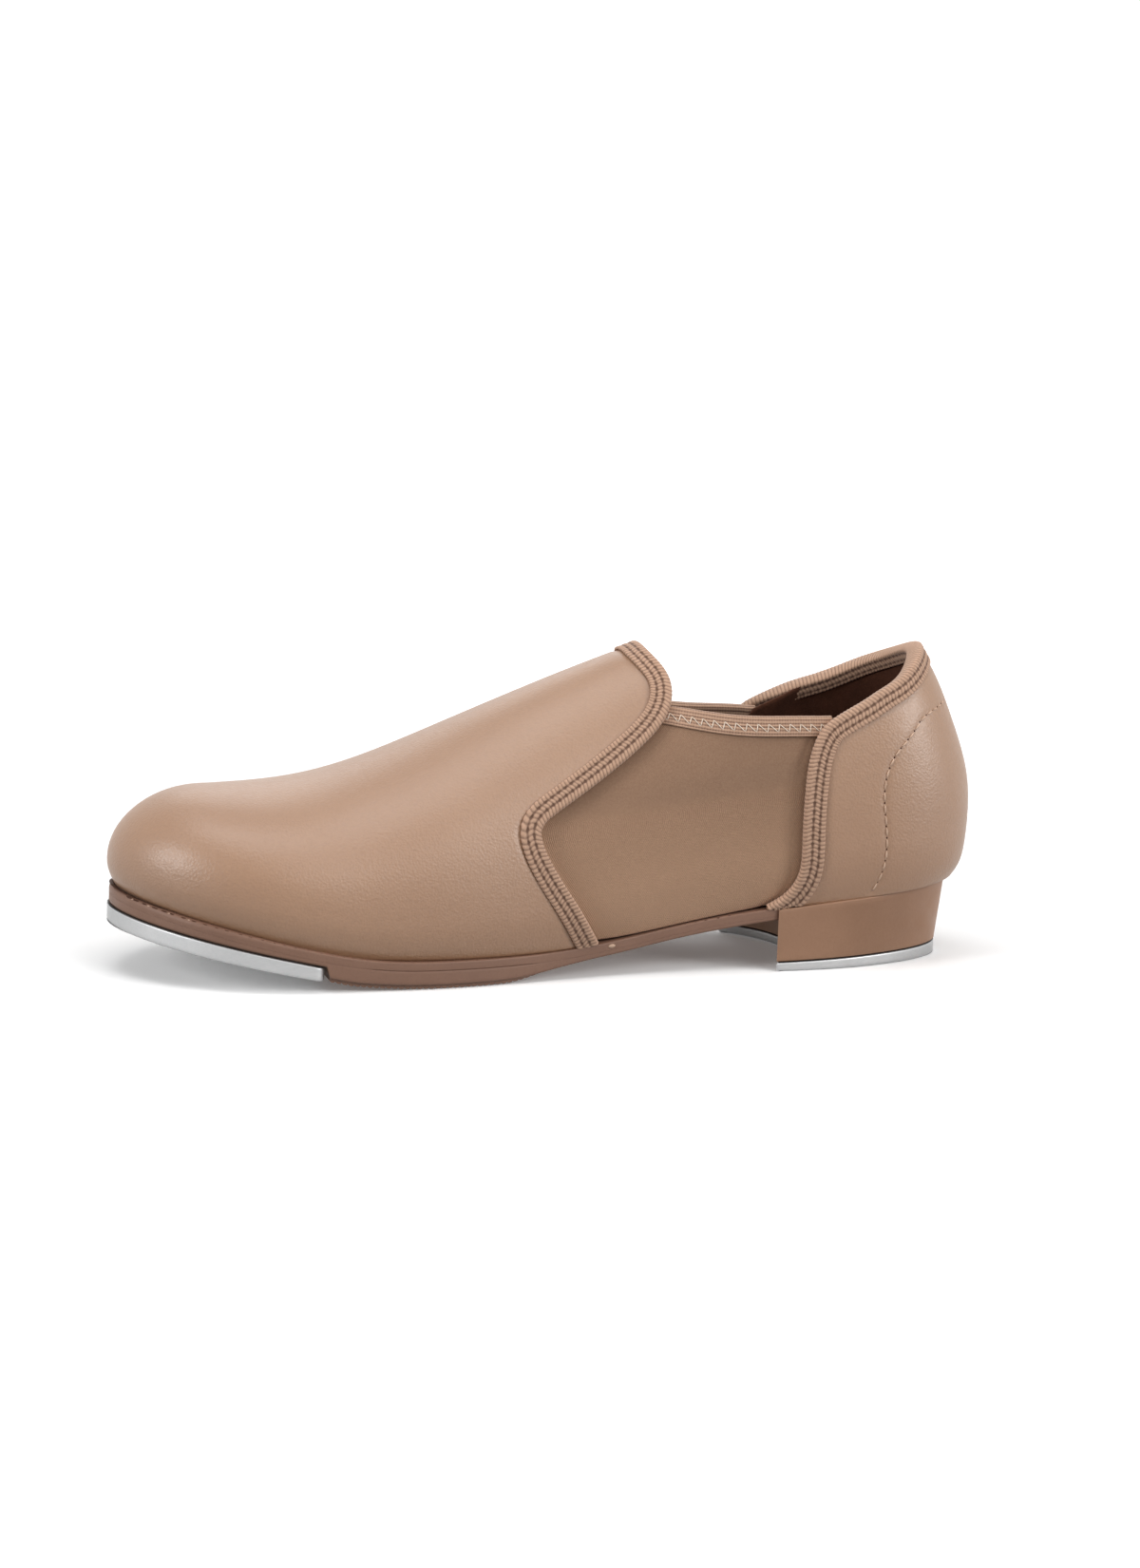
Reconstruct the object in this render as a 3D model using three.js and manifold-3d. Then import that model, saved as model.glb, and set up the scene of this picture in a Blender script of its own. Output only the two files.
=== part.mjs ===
// A right tap shoe of the slip-on kind: a smooth leather vamp and quarter joined by two
// neoprene gores, lasted over an insole board, on a low block heel with a toe and a heel tap.
// Millimetres. X runs from the toe (-X) to the heel (+X), Y from the medial side (-Y)
// to the lateral side (+Y), and Z points up from the ground.
import * as THREE from "three";
import { mergeVertices } from "three/addons/utils/BufferGeometryUtils.js";
import Module from "manifold-3d";

const wasm = await Module();
wasm.setup();

const V = (x, y, z) => new THREE.Vector3(x, y, z);
const { lerp, clamp, smoothstep, degToRad } = THREE.MathUtils;
const MEDIAL = -1;
const LATERAL = 1;

// ---------------------------------------------------------------- driving dimensions
const TIP = -129; // foremost point of the upper
const TOE_CENTRE = -64; // spine point that the toe cap curves round
const HEEL_CENTRE = 92; // spine point that the heel cap curves round
const PLAN_CAP = 62; // length of the rounded toe in plan
const CREST_CAP = 27; // length of the rounded toe seen from the side
const TOE_TUCK = 3.6; // how far the upper curls in under the toe
const SIDE_TUCK = 2.7; // how far it curls in under the sides
const GAP = 0.3; // clearance between neighbouring pieces

const LEATHER = 1.4;
const LINING_TOP = 3.0; // depth of the lining's outer face below the last surface
const LINING = 0.8;
const MARGIN = 9; // width of the lasting margin turned in under the insole
const GORE_DEPTH = 4.4; // depth of the gore where it is sewn in under the leather
const GORE = 1.8;
const GORE_BULGE = 2.2;
const BINDING = 6; // visible width of the edge bindings
const TAPE = 0.5; // thickness of the binding tape

const MIDSOLE = 2.1;
const OUTSOLE_WAIST = 1.0;
const SOLE_TIP = -128.2;
const TAP_TIP = -128.7;
const TAP_REAR = -73.2;
const BREAST = 63; // where the heel block starts at its two front corners
const BREAST_DEPTH = 12.5; // how far the breast curves in behind them
const BLOCK_END = 123.2; // rear of the heel block at the seat
const BLOCK_FOOT_END = 121.6; // rear of the heel block at the ground
const BREAST_HALF = 28.4; // half width of the heel at the breast
const GASKET = 0.7; // sound board between a tap and the sole
const TOE_SCREW = 7.5; // lengths of the fixings
const HEEL_SCREW = 11;
const NAIL = 13;

// ---------------------------------------------------------------- curves
// Natural cubic spline through [position, value] pairs, straight beyond its ends.
function spline(knots) {
  const n = knots.length;
  const t = knots.map((k) => k[0]);
  const v = knots.map((k) => k[1]);
  const step = (i) => t[i + 1] - t[i];
  const slope = (i) => (v[i + 1] - v[i]) / step(i);
  const bend = new Array(n).fill(0); // second derivatives, by elimination and back-substitution
  const gain = new Array(n).fill(0);
  for (let i = 1; i < n - 1; i++) {
    const pivot = 2 * (step(i - 1) + step(i)) - step(i - 1) * gain[i - 1];
    gain[i] = step(i) / pivot;
    bend[i] = (6 * (slope(i) - slope(i - 1)) - step(i - 1) * bend[i - 1]) / pivot;
  }
  for (let i = n - 2; i > 0; i--) bend[i] -= gain[i] * bend[i + 1];
  const startSlope = slope(0) - (step(0) * bend[1]) / 6;
  const endSlope = slope(n - 2) + (step(n - 2) * bend[n - 2]) / 6;
  return (at) => {
    if (at <= t[0]) return v[0] + startSlope * (at - t[0]);
    if (at >= t[n - 1]) return v[n - 1] + endSlope * (at - t[n - 1]);
    let i = 0;
    while (t[i + 1] < at) i++;
    const h = step(i);
    const a = at - t[i];
    const b = t[i + 1] - at;
    const curve = (bend[i] * b ** 3 + bend[i + 1] * a ** 3) / (6 * h);
    return curve + (v[i] / h - (bend[i] * h) / 6) * b + (v[i + 1] / h - (bend[i + 1] * h) / 6) * a;
  };
}

// Height of the feather line, where the upper turns in to the sole.
const feather = spline([[-126, 23.4], [-105, 18.4], [-80, 12.6], [-58, 8.6], [-35, 7.7],
  [-10, 8], [12, 10.2], [40, 15.2], [62, 18.4], [85, 21.07], [110, 23.97], [126, 25.8]]);
// Height of the widest line above the feather line.
const rise = spline([[-129, 6.5], [-100, 9], [-60, 10], [0, 14], [50, 16], [92, 17], [130, 17]]);
const widest = (x) => feather(x) + rise(x);
// Ridge of the last along the instep, and the virtual ankle cone above the opening.
const ridge = spline([[-129, 51.6], [-110, 51.8], [-90, 52.3], [-75, 53.8], [-55, 59.2],
  [-30, 69.6], [0, 82.6], [22, 91.4], [45, 100], [70, 107.5], [92, 110], [114, 107.5]]);
const centre = spline([[-129, -5], [-105, -4], [-80, -1.8], [-50, 0], [0, 0], [60, 0], [129, 0]]);
const halfWidest = {
  [MEDIAL]: spline([[-129, 40], [-90, 42.8], [-64, 43.8], [-40, 43], [-15, 38.5], [10, 33.4],
    [35, 30.2], [60, 29.8], [80, 30.4], [92, 30.6], [104, 30.4]]),
  [LATERAL]: spline([[-129, 41], [-90, 42.6], [-64, 43.8], [-40, 45.6], [-15, 43.2], [10, 38.2],
    [35, 33.6], [60, 31], [80, 30.6], [92, 30.6], [104, 30.5]]),
};
// Rearmost point of the heel at each height.
const back = spline([[20, 120], [23.5, 123.4], [27, 126.3], [34, 128.5], [44, 129.2],
  [54, 128.4], [64, 125.6], [74, 121.6], [84, 117], [94, 111]]);

// 0 at the tip, rounding up to 1 at the given length behind it.
function cap(distance, length, power) {
  return Math.sqrt(1 - clamp(1 - distance / length, 0, 1) ** power);
}

// Height of the crest, rounded down to the widest line at the tip.
function crest(x) {
  return lerp(widest(x), ridge(x), cap(x - TIP, CREST_CAP, 2.05));
}

// Half width of the last on one side, at a place along it and a height.
function halfWidth(side, x, z) {
  if (x > HEEL_CENTRE) {
    const reach = clamp((x - HEEL_CENTRE) / (back(z) - HEEL_CENTRE), 0, 1);
    return halfWidth(side, HEEL_CENTRE, z) * Math.sqrt(1 - reach ** 2.25);
  }
  const wide = widest(x);
  const tuck = clamp((wide - z) / rise(x), 0, 1.3) ** 2;
  const stretch = 1 + (TOE_TUCK * tuck) / (TOE_CENTRE - TIP);
  const at = x < TOE_CENTRE ? TOE_CENTRE - (TOE_CENTRE - x) * stretch : x;
  const level = (halfWidest[side](at) - SIDE_TUCK * tuck) * cap(at - TIP, PLAN_CAP, 2.3);
  const up = clamp((z - wide) / (crest(x) - wide + 1e-6), 0, 1);
  return Math.max(level, 0) * Math.sqrt(1 - up ** 2.25);
}

// ---------------------------------------------------------------- points on the last
// A ray from the spine: angle 0 points to the medial side, 90 to the crest and 180 to the
// lateral side, in a plane tilted forwards, measured from the curved feather line.
function rayPoint(spineX, tilt, angle) {
  const along = -Math.sin(degToRad(angle)) * Math.sin(degToRad(tilt));
  const up = Math.sin(degToRad(angle)) * Math.cos(degToRad(tilt));
  const across = -Math.cos(degToRad(angle));
  const side = across < 0 ? MEDIAL : LATERAL;
  let inside = 0;
  let outside = 140;
  for (let i = 0; i < 36; i++) {
    const r = (inside + outside) / 2;
    const x = spineX + r * along;
    const z = feather(x) + r * up;
    const held = x > TIP && z <= crest(x) + 1e-9 && r * Math.abs(across) < halfWidth(side, x, z);
    if (held) inside = r;
    else outside = r;
  }
  const x = spineX + inside * along;
  return V(x, centre(x) + inside * across, feather(x) + inside * up);
}

function wallPoint(side, x, z) {
  return V(x, centre(x) + side * halfWidth(side, x, z), z);
}

// A point round the heel: turn -90 is the medial wall, 0 the back and 90 the lateral wall.
function heelPoint(turn, z) {
  const side = turn < 0 ? MEDIAL : LATERAL;
  const length = back(z) - HEEL_CENTRE;
  const x = HEEL_CENTRE + length * Math.cos(degToRad(turn)) ** (2 / 2.25);
  return wallPoint(side, x, z);
}

// Moves a point near the heel onto the last, keeping its height.
function ontoWall(p) {
  const side = p.y < centre(p.x) ? MEDIAL : LATERAL;
  if (p.x <= HEEL_CENTRE) return wallPoint(side, p.x, p.z);
  const dx = (p.x - HEEL_CENTRE) / (back(p.z) - HEEL_CENTRE);
  const dy = Math.abs(p.y) / halfWidth(side, HEEL_CENTRE, p.z);
  const turn = Math.atan2(dy, dx ** (2.25 / 2));
  return heelPoint((side * turn * 180) / Math.PI, p.z);
}

// Moves a point near the vamp onto the last, along its own section.
function ontoVamp(p) {
  const angle = Math.atan2(p.z - feather(p.x), -(p.y - centre(p.x)));
  return rayPoint(p.x, 0, (angle * 180) / Math.PI);
}

// ---------------------------------------------------------------- pattern lines
// Rear edge of the vamp: place along the shoe by section angle, the same on both sides.
const vampEdgeX = spline([[0, 7.5], [22, -1.2], [34, -7.8], [42, -11.4], [47.5, -10.6],
  [52, -4.7], [58, 5.7], [64, 17.2], [69, 26], [73.5, 29.5], [77, 29.4], [82, 26.8], [86, 25.3],
  [90, 25], [94, 25.3]]);
const vampEdge = (angle) => vampEdgeX(angle > 90 ? 180 - angle : angle);
// Front edge of the quarter by height; the lateral one stands further forward.
const quarterFront = spline([[17, 57.5], [18.4, 60.3], [20.3, 63.8], [24.1, 67.6], [28.5, 69.6],
  [34.7, 70], [44.4, 69.9], [53.4, 70.3], [62.3, 71.4], [68.1, 73.3], [71.7, 75.2]]);
const LATERAL_SHIFT = -8;
// Topline of the quarter, from the medial front corner (0) round the back (0.5) to the
// lateral front corner (1).
const topline = spline([[0, 71.7], [0.036, 74.2], [0.126, 78.4], [0.2, 81.8], [0.263, 86.3],
  [0.313, 89.8], [0.353, 91.8], [0.5, 93.2], [0.657, 88.6], [0.753, 84], [0.8, 81],
  [0.87, 78.6], [0.95, 74.6], [1, 70.5]]);
const goreTop = {
  [MEDIAL]: spline([[22, 79.6], [36, 76.9], [50, 75.1], [64, 75], [84, 75.4]]),
  [LATERAL]: spline([[20, 78.4], [34, 74.4], [48, 72.2], [60, 71.9], [76, 71.5]]),
};
const VAMP_TUCK = 5; // how far the gore reaches in under the vamp
const QUARTER_TUCK = 5; // and under the quarter

// ---------------------------------------------------------------- surface patches, u and v from 0 to 1
const TOE_SHARE = 0.5; // share of the vamp patch that fans round the toe

// Section angle by v: half of the steps go by angle, half by length along the vamp's rear edge.
const vampAngle = (() => {
  const spent = [0];
  for (let a = 1; a <= 180; a++) {
    const length = rayPoint(vampEdge(a), 0, a).distanceTo(rayPoint(vampEdge(a - 1), 0, a - 1));
    spent.push(spent.at(-1) + length + 1.4);
  }
  return (v) => {
    const goal = v * spent.at(-1);
    let a = 0;
    while (a < 179 && spent[a + 1] < goal) a++;
    return a + (goal - spent[a]) / (spent[a + 1] - spent[a]);
  };
})();

function vampPatch(u, v) {
  const angle = vampAngle(v);
  if (u < TOE_SHARE) return rayPoint(TOE_CENTRE + (20 * u) / TOE_SHARE, 90 * (1 - u / TOE_SHARE), angle);
  const along = (u - TOE_SHARE) / (1 - TOE_SHARE);
  return rayPoint(lerp(TOE_CENTRE + 20, vampEdge(angle), along), 0, angle);
}

// The lining stops short of the gores but follows the vamp up its tongue.
function vampLiningPatch(u, v) {
  const angle = vampAngle(v);
  const short = 1 + 10 * smoothstep(Math.abs(90 - angle), 7, 12);
  const along = Math.max(0, (u - TOE_SHARE) / (1 - TOE_SHARE));
  if (u < TOE_SHARE) return vampPatch(u, v);
  return rayPoint(lerp(TOE_CENTRE + 20, vampEdge(angle) - short, along), 0, angle);
}

const SIDE_SHARE = 0.2; // share of the quarter patch on each straight side
const FOOT_BIAS = 1.4; // packs its rows closer near the feather line

function quarterPatch(u, v) {
  const side = u < 0.5 ? MEDIAL : LATERAL;
  const fromFront = side === MEDIAL ? u : 1 - u;
  const top = topline(u);
  if (fromFront >= SIDE_SHARE) {
    const turn = side * 90 * (1 - (fromFront - SIDE_SHARE) / (0.5 - SIDE_SHARE));
    const foot = heelPoint(turn, 23);
    return heelPoint(turn, lerp(feather(foot.x), top, v ** FOOT_BIAS));
  }
  const shift = side === LATERAL ? LATERAL_SHIFT : 0;
  const share = fromFront / SIDE_SHARE;
  const footX = lerp(quarterFront(18.4) + shift, HEEL_CENTRE, share);
  const z = lerp(feather(footX), top, v ** FOOT_BIAS);
  return wallPoint(side, lerp(quarterFront(z) + shift, HEEL_CENTRE, share), z);
}

// A gore fills the space between the vamp and the quarter: a Coons patch in the side view.
function gorePatch(side) {
  const shift = side === LATERAL ? LATERAL_SHIFT : 0;
  const front = (v) => {
    const p = rayPoint(vampEdge(71 * v), 0, 71 * v);
    return new THREE.Vector2(p.x - VAMP_TUCK, v === 1 ? goreTop[side](p.x - VAMP_TUCK) : p.z);
  };
  const rearTop = quarterFront(71.7) + shift + QUARTER_TUCK;
  const rear = (v) => {
    const z = lerp(feather(62 + shift), 71.7, Math.min(v / 0.95, 1));
    const corner = new THREE.Vector2(rearTop, goreTop[side](rearTop));
    const edge = new THREE.Vector2(quarterFront(z) + shift + QUARTER_TUCK, z);
    return edge.lerp(corner, smoothstep(v, 0.8, 1));
  };
  const foot = (u) => {
    const x = lerp(front(0).x, rear(0).x, u);
    return new THREE.Vector2(x, feather(x));
  };
  const top = (u) => {
    const x = lerp(front(1).x, rear(1).x, u);
    return new THREE.Vector2(x, goreTop[side](x));
  };
  return (u, v) => {
    const p = front(v).multiplyScalar(1 - u).addScaledVector(rear(v), u);
    p.addScaledVector(foot(u), 1 - v).addScaledVector(top(u), v);
    p.addScaledVector(front(0), -(1 - u) * (1 - v)).addScaledVector(rear(0), -u * (1 - v));
    p.addScaledVector(front(1), -(1 - u) * v).addScaledVector(rear(1), -u * v);
    return wallPoint(side, p.x, p.y);
  };
}

// ---------------------------------------------------------------- shells from patches
function patchNormal(patch, u, v) {
  const e = 1e-3;
  const [u0, u1] = [Math.max(u - e, 0), Math.min(u + e, 1)];
  const [v0, v1] = [Math.max(v - e, 0), Math.min(v + e, 1)];
  const du = patch(u1, v).sub(patch(u0, v));
  const dv = patch(u, v1).sub(patch(u, v0));
  const normal = du.cross(dv).normalize();
  const p = patch(u, v);
  const coreX = clamp(p.x, TOE_CENTRE, HEEL_CENTRE);
  const core = V(coreX, centre(coreX), feather(coreX) + 8);
  return normal.dot(core.sub(p)) > 0 ? normal.negate() : normal;
}

// Lifts the lowest part of a hidden layer clear of the lasting margin below it.
function lifted(p, lift) {
  const h = clamp((p.z - feather(p.x)) / 14, 0, 1);
  return V(p.x, p.y, p.z + lift * (1 - h) ** 2);
}

function layer(patch, rows, columns, depth, lift) {
  const grid = [];
  for (let i = 0; i <= rows; i++) {
    const row = [];
    for (let j = 0; j <= columns; j++) {
      const u = i / rows;
      const v = j / columns;
      const d = typeof depth === "function" ? depth(u, v) : depth;
      const up = typeof lift === "function" ? lift(u, v) : lift;
      row.push(lifted(patch(u, v).addScaledVector(patchNormal(patch, u, v), -d), up));
    }
    grid.push(row);
  }
  return grid;
}

// One closed solid between two grids of the same size, with vertices that meet merged.
function solidBetween(outer, inner) {
  const rows = outer.length;
  const columns = outer[0].length;
  const points = [...outer.flat(), ...inner.flat()];
  const place = (g, i, j) => g * rows * columns + i * columns + j;
  const faces = [];
  const quad = (a, b, c, d) => faces.push([a, b, c], [a, c, d]);
  for (let i = 0; i < rows - 1; i++) {
    for (let j = 0; j < columns - 1; j++) {
      quad(place(0, i, j), place(0, i + 1, j), place(0, i + 1, j + 1), place(0, i, j + 1));
      quad(place(1, i, j), place(1, i, j + 1), place(1, i + 1, j + 1), place(1, i + 1, j));
    }
  }
  for (let i = 0; i < rows - 1; i++) {
    quad(place(0, i, 0), place(1, i, 0), place(1, i + 1, 0), place(0, i + 1, 0));
    const j = columns - 1;
    quad(place(0, i + 1, j), place(1, i + 1, j), place(1, i, j), place(0, i, j));
  }
  for (let j = 0; j < columns - 1; j++) {
    quad(place(0, 0, j + 1), place(1, 0, j + 1), place(1, 0, j), place(0, 0, j));
    const i = rows - 1;
    quad(place(0, i, j), place(1, i, j), place(1, i, j + 1), place(0, i, j + 1));
  }
  return closedGeometry(points, faces);
}

// Merges equal points, drops collapsed triangles and turns the faces outwards.
function closedGeometry(points, faces) {
  const loose = new THREE.BufferGeometry().setFromPoints(points);
  loose.setIndex(faces.flat());
  const merged = mergeVertices(loose, 1e-3);
  const index = [];
  const source = merged.index.array;
  for (let i = 0; i < source.length; i += 3) {
    const [a, b, c] = source.subarray(i, i + 3);
    if (a !== b && b !== c && c !== a) index.push(a, b, c);
  }
  merged.setIndex(index);
  if (signedVolume(merged) < 0) {
    for (let i = 0; i < index.length; i += 3) [index[i + 1], index[i + 2]] = [index[i + 2], index[i + 1]];
    merged.setIndex(index);
  }
  return merged;
}

function signedVolume(geometry) {
  const position = geometry.getAttribute("position");
  const corner = (i) => V().fromBufferAttribute(position, geometry.index.array[i]);
  let sum = 0;
  for (let i = 0; i < geometry.index.count; i += 3) {
    sum += corner(i).dot(corner(i + 1).cross(corner(i + 2)));
  }
  return sum / 6;
}

// Stacks equal rings of points into a solid with flat ends.
function solidOfRings(rings) {
  const n = rings[0].length;
  const faces = [];
  for (let i = 0; i < rings.length - 1; i++) {
    for (let j = 0; j < n; j++) {
      const k = (j + 1) % n;
      faces.push([i * n + j, i * n + k, (i + 1) * n + k], [i * n + j, (i + 1) * n + k, (i + 1) * n + j]);
    }
  }
  const last = (rings.length - 1) * n;
  for (const [a, b, c] of endTriangles(rings[0])) faces.push([c, b, a]);
  for (const [a, b, c] of endTriangles(rings.at(-1))) faces.push([last + a, last + b, last + c]);
  return closedGeometry(rings.flat(), faces);
}

// Triangles over a flat ring, in the plane that it lies closest to.
function endTriangles(ring) {
  const normal = V(0, 0, 0);
  ring.forEach((p, i) => normal.add(V().crossVectors(p, ring[(i + 1) % ring.length])));
  normal.normalize();
  const across = V().subVectors(ring[1], ring[0]).projectOnPlane(normal).normalize();
  const up = V().crossVectors(normal, across);
  const flat = ring.map((p) => new THREE.Vector2(p.dot(across), p.dot(up)));
  return THREE.ShapeUtils.triangulateShape(flat, []);
}

// ---------------------------------------------------------------- cuts
function manifoldOf(geometry) {
  const bare = geometry.clone();
  bare.deleteAttribute("normal");
  bare.deleteAttribute("uv");
  const merged = mergeVertices(bare, 1e-4);
  const vertProperties = new Float32Array(merged.getAttribute("position").array);
  const triVerts = new Uint32Array(merged.index.array);
  return new wasm.Manifold(new wasm.Mesh({ numProp: 3, vertProperties, triVerts }));
}

function cut(geometry, removed) {
  let solid = manifoldOf(geometry);
  for (const part of removed) solid = solid.subtract(manifoldOf(part));
  const mesh = solid.getMesh();
  const result = new THREE.BufferGeometry();
  result.setAttribute("position", new THREE.BufferAttribute(mesh.vertProperties, 3));
  return result.setIndex(new THREE.BufferAttribute(mesh.triVerts, 1));
}

// ---------------------------------------------------------------- assembly list
const shoe = new THREE.Group();
const finishes = {
  leather: { color: 0xb0917a, roughness: 0.5 },
  neoprene: { color: 0x9c7c62, roughness: 0.9 },
  tape: { color: 0xb8937c, roughness: 0.85 },
  suede: { color: 0x4a2c1f, roughness: 1 },
  board: { color: 0x8a7256, roughness: 0.9 },
  sole: { color: 0xa07a62, roughness: 0.55 },
  tread: { color: 0x8f6b54, roughness: 0.8 },
  aluminium: { color: 0xc4c6c6, roughness: 0.45, metalness: 0.9 },
  steel: { color: 0x8d8f92, roughness: 0.4, metalness: 1 },
  gasket: { color: 0x33261f, roughness: 0.9 },
  foam: { color: 0x6d4b3a, roughness: 1 },
};

function add(name, finish, geometry) {
  const mesh = new THREE.Mesh(geometry, new THREE.MeshStandardMaterial(finishes[finish]));
  mesh.name = name;
  shoe.add(mesh);
}

// ---------------------------------------------------------------- upper
// Adds the lasting margin, turned in under the insole, to the edges of a grid that lie on the
// feather line. Plan directions point from the edge to the spine.
function withMargin(grid, height, edges) {
  const inward = (p) => {
    const x = clamp(p.x, TOE_CENTRE, HEEL_CENTRE);
    const d = V(x - p.x, centre(x) - p.y, 0).normalize();
    const q = p.clone().addScaledVector(d, MARGIN - height);
    return q.setZ(feather(q.x) + height);
  };
  const rows = edges.sides ? grid.map((row) => [inward(row[0]), ...row, inward(row.at(-1))]) : grid;
  if (!edges.front) return rows;
  return [rows[0].map((p, j) => (j === 0 || j === rows[0].length - 1 ? p.clone() : inward(p))), ...rows];
}

const VAMP_ROWS = 14;
const PUFF_ROWS = 6;
const VAMP_COLUMNS = 28;

function buildVamp() {
  const margin = { sides: true, front: true };
  const outer = withMargin(layer(vampPatch, VAMP_ROWS, VAMP_COLUMNS, 0, 0), 0, margin);
  const inner = withMargin(layer(vampPatch, VAMP_ROWS, VAMP_COLUMNS, LEATHER, LEATHER), LEATHER, margin);
  add("vamp", "leather", solidBetween(outer, inner));
  const lining = (depth) => layer(vampLiningPatch, VAMP_ROWS, VAMP_COLUMNS, depth, 3.4);
  add("vamp_lining", "suede", solidBetween(lining(LINING_TOP), lining(LINING_TOP + LINING)));
  const toeOnly = (u, v) => vampPatch((u * PUFF_ROWS) / VAMP_ROWS, v);
  const puff = (depth) => layer(toeOnly, PUFF_ROWS, VAMP_COLUMNS, depth, 3.1);
  add("toe_puff", "board", solidBetween(puff(LEATHER + GAP), puff(LINING_TOP - GAP)));
}

function buildQuarter() {
  const columns = 10;
  const rows = 30;
  const margin = (grid, height) => {
    const turned = grid.map((row) => {
      const p = row[0];
      const x = Math.min(p.x, HEEL_CENTRE);
      const d = V(x - p.x, centre(x) - p.y, 0).normalize();
      const q = p.clone().addScaledVector(d, MARGIN - height);
      return [q.setZ(feather(q.x) + height), ...row];
    });
    return turned;
  };
  const outer = margin(layer(quarterPatch, rows, columns, 0, 0), 0);
  const inner = margin(layer(quarterPatch, rows, columns, LEATHER, LEATHER), LEATHER);
  add("quarter", "leather", solidBetween(outer, inner));
  const trimmed = (u0, u1, v1) => (u, v) => quarterPatch(lerp(u0, u1, u), v * v1);
  const lining = (depth) => layer(trimmed(0.15, 0.85, 1), 21, columns, depth, 3);
  add("quarter_lining", "suede", solidBetween(lining(LINING_TOP), lining(LINING_TOP + LINING)));
  const counter = (depth) => layer(trimmed(0.15, 0.85, 0.86), 21, columns, depth, 2.8);
  add("heel_counter", "board", solidBetween(counter(LEATHER + GAP), counter(LINING_TOP - GAP)));
}

// How much of the gore patch is exposed: 0 under the leather, 1 in the middle.
function goreExposure(u) {
  const shown = clamp((u - 0.14) / 0.67, 0, 1);
  return 4 * shown * (1 - shown);
}

const goreDepth = (u) => GORE_DEPTH - GORE_BULGE * goreExposure(u);

function buildGore(side, name) {
  const patch = gorePatch(side);
  const lift = (u) => 3.2 - 2.9 * Math.min(1, goreExposure(u) * 6);
  const outer = layer(patch, 18, 9, (u) => goreDepth(u), lift);
  const inner = layer(patch, 18, 9, (u) => goreDepth(u) + GORE, lift);
  add("gore_" + name, "neoprene", solidBetween(outer, inner));
  // The tape folds over the top edge of the gore.
  const strip = (u, t) => {
    const p = patch(u, 1);
    return ontoWall(V(p.x, p.y, p.z - t));
  };
  const section = (u) => foldedSection(goreDepth(u), goreDepth(u) + GORE, BINDING, 0.95);
  add("gore_binding_" + name, "tape", sweptFold(strip, section, 20, [0.05, 0.91]));
}

// Cross-section of a folded tape as [distance in from the edge, depth below the surface].
function foldedSection(outerDepth, innerDepth, innerWidth, clearance) {
  const clear = clearance;
  const half = innerWidth / 2;
  const top = outerDepth - clearance;
  const bottom = innerDepth + clearance;
  return [[BINDING, top - TAPE], [half, top - TAPE], [-clear, top - TAPE], [-clear - TAPE, top],
    [-clear - TAPE, bottom], [-clear, bottom + TAPE], [innerWidth, bottom + TAPE], [innerWidth, bottom],
    [half, bottom], [-clear, bottom], [-clear, top], [half, top], [BINDING, top]];
}

// Sweeps a folded tape along an edge; strip(u, t) is the surface t millimetres in from it.
function sweptFold(strip, section, steps, [from, to] = [0, 1]) {
  const rings = [];
  for (let i = 0; i <= steps; i++) {
    const u = lerp(from, to, i / steps);
    const normalAt = (t) => patchNormal((a, b) => strip(a, b * 10), u, clamp(t / 10, 0, 1));
    rings.push(section(u).map(([t, depth]) => strip(u, t).addScaledVector(normalAt(t), -depth)));
  }
  return solidOfRings(rings);
}

// The foot of a tape ends on the sole, so nothing of it goes below the feather line.
function aboveFeather(p) {
  const floor = feather(p.x) + 2.2;
  return p.z > floor ? p : V(p.x, p.y, floor - (floor - p.z) * 0.02);
}

// A strip along an edge curve: t millimetres in from the edge, at right angles to it.
function edgeStrip(edge, onto, inwardHint) {
  return (u, t) => {
    const e = 2e-3;
    const p = edge(u);
    const tangent = edge(Math.min(u + e, 1)).sub(edge(Math.max(u - e, 0))).normalize();
    const probe = (d) => onto(aboveFeather(p.clone().add(d)));
    const hint = inwardHint(u, p);
    const side = V().crossVectors(tangent, hint).cross(tangent).normalize();
    const near = probe(side.clone().multiplyScalar(1)).sub(onto(p.clone())).normalize();
    const flat = near.addScaledVector(tangent, -near.dot(tangent)).normalize();
    return probe(flat.multiplyScalar(t));
  };
}

function buildEdgeBindings() {
  const vampLine = (u) => rayPoint(vampEdge(180 * u), 0, 180 * u);
  const vampStrip = edgeStrip(vampLine, ontoVamp, (u, p) => vampPatch(0.9, u).sub(p));
  const vampSection = (u) => {
    const onTongue = 1 - smoothstep(Math.abs(90 - 180 * u), 10, 15);
    return foldedSection(0, lerp(LEATHER, LINING_TOP + LINING, onTongue), 4, 0.95);
  };
  add("vamp_binding", "tape", sweptFold(vampStrip, vampSection, 60, [0.03, 0.97]));

  const share = 0.26; // share of the path along each front edge
  const quarterLine = (u) => {
    if (u < share) return quarterPatch(0, u / share);
    if (u > 1 - share) return quarterPatch(1, (1 - u) / share);
    return quarterPatch((u - share) / (1 - 2 * share), 1);
  };
  const inside = (u) => {
    if (u < share) return quarterPatch(0.12, u / share);
    if (u > 1 - share) return quarterPatch(0.88, (1 - u) / share);
    return quarterPatch((u - share) / (1 - 2 * share), 0.8);
  };
  const quarterStrip = edgeStrip(quarterLine, ontoWall, (u, p) => inside(u).sub(p));
  const quarterSection = (u) => {
    const alongTop = Math.abs(u - 0.5) / (0.5 - share);
    const overLining = 1 - smoothstep(alongTop, 0.77, 0.87);
    return foldedSection(0, lerp(LEATHER, LINING_TOP + LINING, overLining), 4, 0.85);
  };
  add("quarter_binding", "tape", sweptFold(quarterStrip, quarterSection, 64, [0.03, 0.97]));
}

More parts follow.
